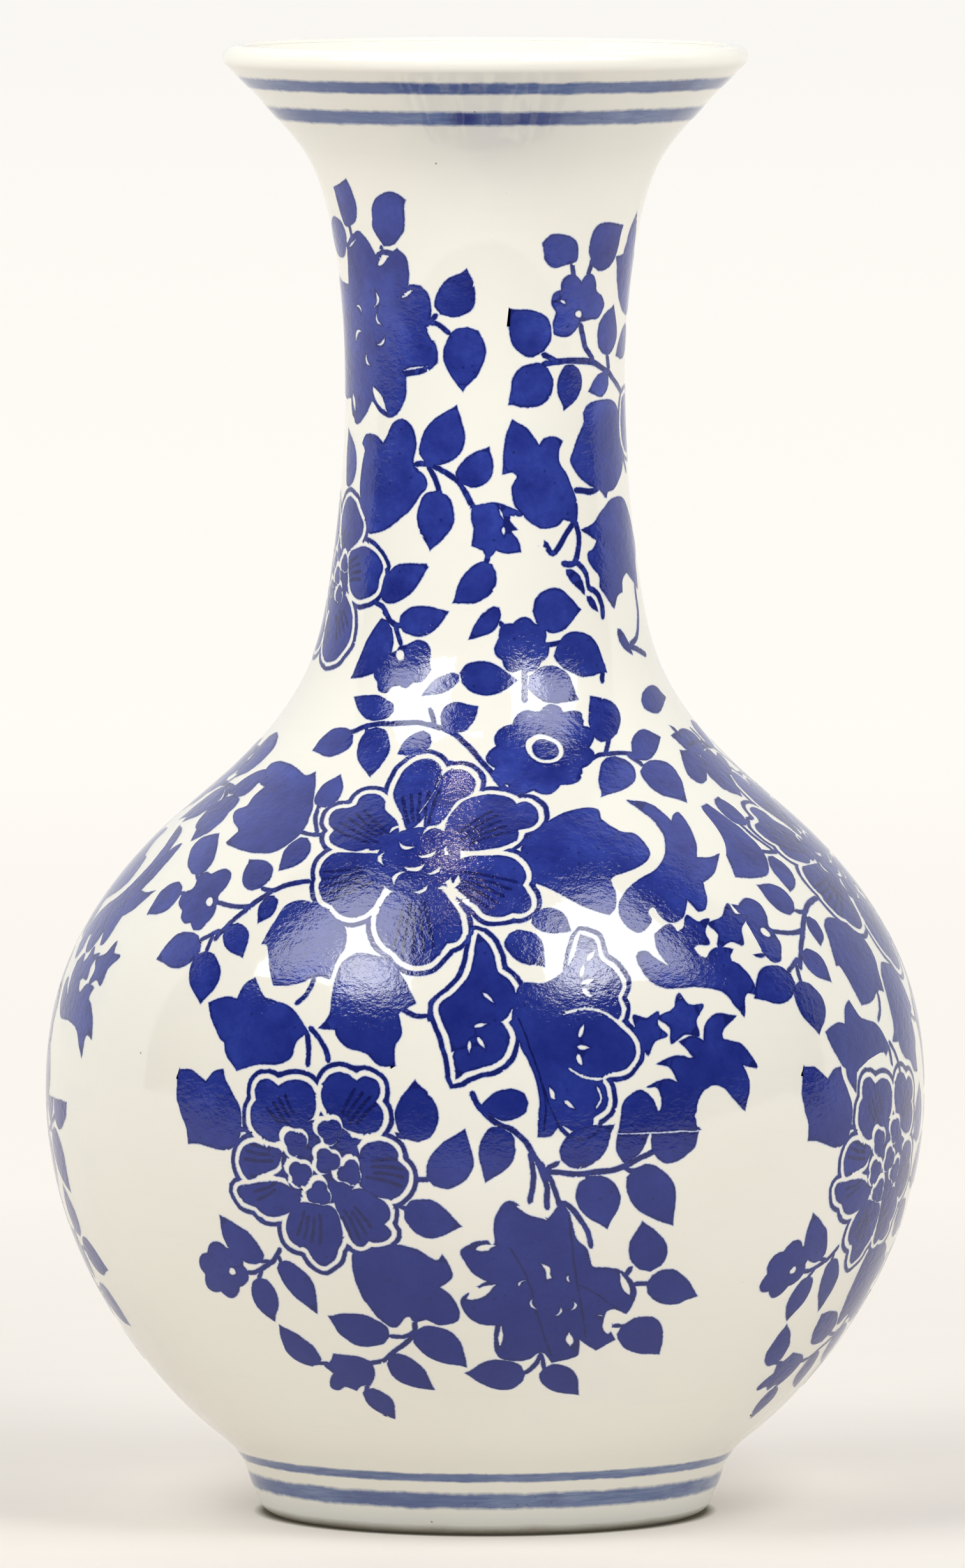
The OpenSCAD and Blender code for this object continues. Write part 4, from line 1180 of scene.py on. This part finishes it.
def printed_cobalt():
    """Printed blue under the glaze: cloudy, darker at its edges, bled at its rim, wrinkled in gloss."""
    s = Shader("printed_cobalt")
    cloud = s.ramp(s.noise(95, 5, 0.62), (0.32, 0.0), (0.68, 1.0))
    colour = s.mix(cloud, (0.012, 0.020, 0.175), (0.034, 0.058, 0.330))
    small = s.ramp(s.noise(620, 3, 0.6), (0.35, 0.0), (0.65, 1.0))
    colour = s.mix(s.times(small, 0.34), colour, (0.012, 0.020, 0.180))
    grain = s.ramp(s.noise(2100, 2, 0.6), (0.45, 0.0), (0.75, 1.0))
    colour = s.mix(s.times(grain, 0.10), colour, (0.060, 0.090, 0.38))
    slow = s.ramp(s.noise(21, 2, 0.5), (0.40, 0.42), (0.60, 0.0))
    colour = s.mix(slow, colour, (0.010, 0.017, 0.135))
    # Painted shade: the print is darkened towards the bottom of the body, where the vase is in less light.
    low = s.ramp(s.height(), (0.050, 0.8), (0.150, 0.0))
    colour = s.mix(low, colour, (0.004, 0.013, 0.162))
    edge = s.ramp(s.attribute("core"), (0.02, 0.85), (0.30, 0.0))
    colour = s.mix(edge, colour, (0.007, 0.011, 0.105))
    colour = s.mix(s.times(s.spots(420, 0.11, 0.09, 0.7), 0.55), colour, (0.006, 0.009, 0.07))
    streak = s.times(s.attribute("vein"), s.ramp(s.noise(800, 3), (0.35, 0.6), (0.65, 1.0)))
    colour = s.mix(streak, colour, (0.005, 0.008, 0.08))
    soft = s.plus(s.attribute("ink"), s.ramp(s.noise(1300, 3, 0.6), (0.3, -0.16), (0.7, 0.16)))
    fringe = s.mix(s.ramp(soft, (0.35, 0.0), (0.8, 1.0)), (0.26, 0.33, 0.62), colour)
    colour = s.mix(s.ramp(soft, (0.02, 0.0), (0.62, 1.0)), glaze_colour(s), fringe)
    rough = s.ramp(s.noise(700, 3), (0.3, 0.025), (0.7, 0.06))
    wrinkle = s.bump(s.noise(1000, 3, 0.6, s.stretched(1, 1, 1.5)), 0.00008, 0.65)
    wrinkle = s.bump(s.noise(380, 3, 0.6, s.stretched(1, 1, 1.4)), 0.00020, 0.65, wrinkle)
    return s.finish(colour, rough, wrinkle, IOR=GLAZE_IOR)


def painted_cobalt():
    """A brushed wash: streaked along the line, darker where the brush was laid and lifted."""
    s = Shader("painted_cobalt")
    wash = s.ramp(s.noise(22, 3, 0.6, s.stretched(1, 1, 2)), (0.35, 0.0), (0.65, 1.0))
    colour = s.mix(wash, (0.070, 0.112, 0.270), (0.190, 0.250, 0.400))
    brushed = s.ramp(s.noise(120, 4, 0.7, s.stretched(1, 1, 10)), (0.35, 0.0), (0.65, 1.0))
    colour = s.mix(s.times(brushed, 0.7), colour, (0.050, 0.085, 0.24))
    loaded = s.ramp(s.noise(34, 3, 0.6), (0.60, 0.0), (0.74, 0.7))
    colour = s.mix(loaded, colour, (0.030, 0.050, 0.21))
    ragged = s.ramp(s.noise(200, 3, 0.6, s.stretched(1, 1, 4)), (0.3, -0.1), (0.7, 0.1))
    blot = s.plus(s.attribute("load"), ragged)
    colour = s.mix(s.ramp(blot, (0.1, 0.0), (1.0, 0.95)), colour, (0.012, 0.020, 0.15))
    colour = s.mix(s.times(s.spots(520, 0.10, 0.1, 0.8), 0.5), colour, (0.02, 0.03, 0.14))
    soft = s.plus(s.attribute("ink"), s.ramp(s.noise(500, 3, 0.6), (0.3, -0.1), (0.7, 0.1)))
    colour = s.mix(s.ramp(soft, (0.02, 0.0), (0.75, 0.97)), glaze_colour(s), colour)
    rough = s.ramp(s.noise(400, 3), (0.3, 0.03), (0.7, 0.06))
    return s.finish(colour, rough, glaze_normal(s), IOR=GLAZE_IOR)


# ---------------------------------------------------------------- the vase

glaze, foot = white_glaze(), foot_glaze()
printed_blue, painted_blue = printed_cobalt(), painted_cobalt()

joint_r = float(wall_at(arc_at(FOOT_JOINT))[0])
# The outside of the foot turns under in a round that meets the wall where the wall leans out by some degrees.
FOOT_ROUND = 4.5
FOOT_LEAN = 26
FOOT_ROUND_TOP = FOOT_ROUND * (1 - math.sin(math.radians(FOOT_LEAN)))
FOOT_ROUND_R = float(wall_at(arc_at(FOOT_ROUND_TOP))[0]) - FOOT_ROUND * math.cos(math.radians(FOOT_LEAN))
spigot_r = RECESS_R + (joint_r - RECESS_R) / 2
turned(
    "foot_ring_turned",
    arc_points((RECESS_R + EDGE_R, EDGE_R), EDGE_R, 180, 270, 7, False)
    + arc_points((FOOT_ROUND_R, FOOT_ROUND), FOOT_ROUND, -90, -FOOT_LEAN, 9)
    + skin_between(FOOT_ROUND_TOP, FOOT_JOINT)
    + [(spigot_r, FOOT_JOINT), (spigot_r, BASE_RECESS_H), (RECESS_R, BASE_RECESS_H)],
    "foot_ring", foot,
)
# The inside of the bowl rounds into the floor of the vase: two steps inwards and down.
WELL_H = 4
WELL_STEPS = [(5, 2.6), (12, 3.7)]
well = depth_between(FLOOR_TOP + WELL_H, BELLY_JOINT + TONGUE, 1)
turned(
    "lower_body_turned",
    [(0.0, BASE_RECESS_H), (spigot_r, BASE_RECESS_H), (spigot_r, FOOT_JOINT)]
    + skin_between(FOOT_JOINT, BELLY_JOINT)
    + depth_between(BELLY_JOINT, BELLY_JOINT + TONGUE, 0.5)
    + well[::-1]
    + [(well[0][0] - inwards, well[0][1] - down) for inwards, down in WELL_STEPS]
    + [(0.0, FLOOR_TOP)],
    "lower_body", glaze,
)
turned("upper_body_turned", wall_loop(BELLY_JOINT, NECK_JOINT), "upper_body", glaze)
turned("neck_turned", wall_loop(NECK_JOINT, MOUTH_JOINT), "neck", glaze)
turned(
    "mouth_rim_turned",
    skin_between(MOUTH_JOINT, float(flare_end[1]))
    + arc_points(lip_centre, LIP_R, -FLARE_LEAN, 180 - FLARE_LEAN, 19)[1:]
    + depth_between(MOUTH_JOINT + TONGUE, float(flare_end[1]), 1, LIP_INNER_STEP)[::-1]
    + depth_between(MOUTH_JOINT, MOUTH_JOINT + TONGUE, 0.5)[::-1],
    "mouth_rim", glaze,
)

# Each line's lower and upper height, seed, wander and blots (direction and width in degrees, and strength).
PAINTED_LINES = [
    ("foot_line_lower", 6.6, 10.1, 1.0, 0.22, [(-30, 14, 0.35), (16, 5, 0.3), (150, 9, 0.5)]),
    ("foot_line_upper", 13.0, 15.0, 2.0, 0.2, [(-38, 12, 0.3), (200, 9, 0.4)]),
    ("mouth_line_lower", 322.9, 326.0, 3.0, 0.25, [(-5.4, 5, 1.0), (11, 17, 0.75), (140, 9, 0.6)]),
    ("mouth_line_upper", 330.2, 332.8, 4.0, 0.25, [(-6, 18, 0.35), (52, 5, 0.4), (120, 9, 0.5)]),
]
for node, z_low, z_high, seed, wander, blots in PAINTED_LINES:
    painted_line(f"painted_{node}", node, z_low, z_high, seed, wander, blots, painted_blue)

# Where each neighbour's paper covers the left of a sheet.
TRIM = [(-33, 201), (-47.8, 179), (-56, 172), (-57.5, 159), (-95, 157), (-95, 245), (-14, 245), (-14, 206)]
DEEP_TRIM = [(x + 8, y) for x, y in TRIM]
FLOWER_TRIM = [(-38, 129.5), (-24, 133), (-16, 126), (-16, 118), (-40, 118)]
lower_cut = cut(lower_body_sheet(), BODY_GRID)
upper_whole = cut(upper_body_sheet(), BODY_GRID)
upper_trimmed = cut(upper_body_sheet(True, [TRIM, FLOWER_TRIM]), BODY_GRID)
upper_deep = cut(upper_body_sheet(False, [DEEP_TRIM]), BODY_GRID)
patch = cut(shoulder_patch(), BODY_GRID)
# Node number, sheet, turn about the vase, shift round and up the wall, and tilt.
BODY_SHEETS = [
    (1, "lower", lower_cut, -12, (0, 0), 0), (1, "upper", upper_whole, -12, (0, 0), 0),
    (1, "patch", patch, -12, (0, 0), 0),
    (2, "lower", lower_cut, 78.5, (-3.5, -1), -7.7), (2, "upper", upper_trimmed, 78.3, (0, -8), 0),
    (3, "lower", lower_cut, 161, (0, -2), 3), (3, "upper", upper_deep, 162.6, (0, -4), 0),
    (4, "lower", lower_cut, -111.2, (0, 1.5), 0), (4, "upper", upper_deep, -113.5, (0, -13), 0),
]
for number, half, pieces, turn, shift, tilt in BODY_SHEETS:
    for group, piece in pieces.items():
        name = f"body_print_{number}_{half}_{group}"
        printed(name, piece, turn, shift, tilt, f"body_transfer_{number}", printed_blue)

left_cut, right_cut = cut(neck_sheet_left(), NECK_GRID), cut(neck_sheet_right(), NECK_GRID)
NECK_SHEETS = [(1, left_cut, 0), (2, right_cut, 0), (3, left_cut, -124)]
for number, pieces, turn in NECK_SHEETS:
    for group, piece in pieces.items():
        name = f"neck_print_{number}_{group}"
        printed(name, piece, turn, (0, 0), 0, f"neck_transfer_{number}", printed_blue)


# ---------------------------------------------------------------- studio, in metres

FLOOR_FRONT, FLOOR_BACK, FLOOR_SIDE = -0.7, 60, 30
CURTAIN_R, CURTAIN_FOOT, CURTAIN_TOP = 6, -3.0, 5.0
# The curtain's roof runs together in a point a little behind the vase.
ROOF_POINT = (0.0, 1.0, CURTAIN_TOP)
WINDOW_GLINT, WINDOW_LIGHT = 6.0, 3.7
WINDOW_STEP_BACK = 1.02
WHITE = (1.0, 1.0, 1.0)
WARM = (1.0, 0.82, 0.66)
SKY, SKY_STRENGTH = (1.0, 0.995, 0.985, 1), 0.9
CAMERA_AT = (-0.0006, -3.9, 0.456)
CAMERA_PITCH = 4.21
CAMERA_LENS, CAMERA_SENSOR = 388.1, 36.0


def floor_material():
    """A pale table with a painted contact shadow under the foot, that runs out into an evenly lit pale
    ground.
    """
    s = Shader("studio_floor")
    out = s.node("ShaderNodeVectorMath", {0: s.space}, operation="LENGTH").outputs["Value"]
    # Painted contact shadow: a thin ring just under the foot, where the table's colour and glow are darkened.
    beside = s.ramp(out, (0.0512, 0.0), (0.0538, 1.0))
    far = s.ramp(out, (0.12, 0.0), (0.75, 1.0))
    further = s.ramp(out, (1.3, 0.0), (2.6, 1.0))
    horizon = s.ramp(out, (2.5, 0.0), (11.0, 1.0))
    near = s.mix(s.noise(14, 5, 0.65), (0.70, 0.665, 0.625), (0.755, 0.725, 0.685))
    scuffs = s.ramp(s.noise(9, 6, 0.75, s.stretched(1, 4, 1)), (0.62, 0.0), (0.78, 0.25))
    near = s.mix(scuffs, near, (0.50, 0.45, 0.38))
    # Painted shadow under the foot, in the table's colour.
    near = s.mix(beside, (0.25, 0.23, 0.19), near)
    colour = s.mix(far, near, (0.03, 0.03, 0.03))
    # Painted shadow under the foot, in the table's glow.
    near_glow = s.mix(beside, (0.02, 0.018, 0.014), (0.20, 0.187, 0.168))
    far_glow = s.mix(further, (0.945, 0.90, 0.84), (0.985, 0.955, 0.905))
    glow = s.mix(far, near_glow, s.mix(horizon, far_glow, (0.935, 0.91, 0.87)))
    s.put(s.surface.inputs["Emission Color"], glow)
    s.surface.inputs["Emission Strength"].default_value = 1.0
    rough = s.ramp(s.noise(3), (0.3, 0.6), (0.7, 0.7))
    return s.finish(colour, rough, s.bump(s.noise(50), 0.0002, 0.2), Specular_IOR_Level=0.0)


def stage_piece(name, points, faces, material, seen=True):
    """A piece of the studio. seen says whether the camera sees it."""
    mesh = bpy.data.meshes.new(name)
    mesh.from_pydata(points, [], faces)
    obj = bpy.data.objects.new(name, mesh)
    mesh.materials.append(material)
    obj.visible_camera = seen
    COLLECTION.objects.link(obj)


def curtain_material():
    """Dark cloth."""
    s = Shader("studio_curtain")
    colour = s.mix(s.noise(2), (0.03, 0.03, 0.03), (0.05, 0.05, 0.05))
    return s.finish(colour, s.ramp(s.noise(3), (0.3, 0.9), (0.7, 1.0)), s.bump(s.noise(30), 0.001, 0.2))


front_edge = [(-FLOOR_SIDE, FLOOR_FRONT, 0), (FLOOR_SIDE, FLOOR_FRONT, 0)]
back_edge = [(FLOOR_SIDE, FLOOR_BACK, 0), (-FLOOR_SIDE, FLOOR_BACK, 0)]
stage_piece("studio_floor", front_edge + back_edge, [(0, 1, 2, 3)], floor_material())
# The dark side of the studio, behind the camera. Only the glaze sees it.
bend = [math.radians(a) for a in range(-100, 101, 10)]
wall_points = [
    (CURTAIN_R * math.sin(a), -CURTAIN_R * math.cos(a), z)
    for a in bend for z in (CURTAIN_FOOT, CURTAIN_TOP)
]
wall_faces = [(2 * i, 2 * i + 2, 2 * i + 3, 2 * i + 1) for i in range(len(bend) - 1)]
wall_points.append(ROOF_POINT)
wall_faces += [(2 * i + 1, 2 * i + 3, len(wall_points) - 1) for i in range(len(bend) - 1)]
stage_piece("studio_curtain", wall_points, wall_faces, curtain_material(), seen=False)


def panel(name, centre, along, up, radiance, colour=WHITE, glossy=True, diffuse=True):
    """A flat lit panel. along and up are its two edges, in metres, and it faces the vase."""
    along, up = Vector(along), Vector(up)
    light = bpy.data.lights.new(name, "AREA")
    light.shape, light.size, light.size_y = "RECTANGLE", along.length, up.length
    light.energy, light.color = radiance * math.pi * along.length * up.length, colour
    obj = bpy.data.objects.new(name, light)
    x = along.normalized()
    z = x.cross(up).normalized()
    obj.rotation_mode = "QUATERNION"
    obj.rotation_quaternion = Matrix((x, z.cross(x), z)).transposed().to_quaternion()
    obj.location = centre
    obj.visible_glossy, obj.visible_diffuse = glossy, diffuse
    COLLECTION.objects.link(obj)


# Two tall windows, each with a brighter glare low down at its near side, two small warm lamps that only
# the gloss shows, and fills from both sides and from low in front that no gloss shows.
WINDOWS = [
    ("left_window", (-0.603, -0.441, 1.455), (0.385, -0.518, 0.078), (-0.314, 0.083, 1.70)),
    ("right_window", (0.585, -0.553, 1.4325), (0.50, 0.582, -0.075), (0.16, 0.14, 1.344)),
]
for name, centre, along, up in WINDOWS:
    panel(f"{name}_glint", centre, along, up, WINDOW_GLINT, WHITE, True, False)
    # Behind the glint, so that a ray that passes the one still meets the other.
    behind = Vector(centre) * WINDOW_STEP_BACK
    panel(f"{name}_light", behind, along, up, WINDOW_LIGHT, WHITE, False, True)
panel("left_window_glare", (-0.553, -0.686, 0.945), (0.16, -0.25, 0.04), (-0.09, 0.02, 0.48), 8.0)
panel("right_window_glare", (0.493, -0.746, 1.075), (0.17, 0.22, -0.03), (0.035, 0.04, 0.55), 9.0)
panel("warm_lamp_left", (-0.155, -0.108, 1.5), (0.10, 0, 0), (0, 0.05, 0), 45.0, WARM, True, False)
panel("warm_lamp_right", (-0.10, -0.492, 1.5), (0.15, 0, 0), (0, 0.035, 0), 26.0, WARM, True, False)
panel("left_fill", (-2.2, -1.35, 0.35), (1.45, -2.3, 0), (0, 0, 1.0), 2.1, WHITE, False, True)
panel("right_fill", (2.2, -1.35, 0.35), (1.45, 2.3, 0), (0, 0, 1.0), 2.2, WHITE, False, True)
panel("front_fill", (0, -2.6, 0.2), (2.6, 0, 0), (0, 0, 0.5), 1.5, WHITE, False, True)

world = bpy.data.worlds.new("studio")
world.use_nodes = True
world.node_tree.nodes["Background"].inputs[0].default_value = SKY
world.node_tree.nodes["Background"].inputs[1].default_value = SKY_STRENGTH
bpy.context.scene.world = world
bpy.context.scene.view_settings.view_transform = "Standard"

# The photograph's viewpoint: well back, a little above the mouth, looking slightly down.
camera = bpy.data.objects.new("camera", bpy.data.cameras.new("camera"))
camera.data.lens, camera.data.sensor_width = CAMERA_LENS, CAMERA_SENSOR
camera.data.clip_start, camera.data.clip_end = 0.5, 100.0
camera.location = CAMERA_AT
camera.rotation_euler = (math.radians(90 - CAMERA_PITCH), 0, 0)
COLLECTION.objects.link(camera)
bpy.context.scene.camera = camera
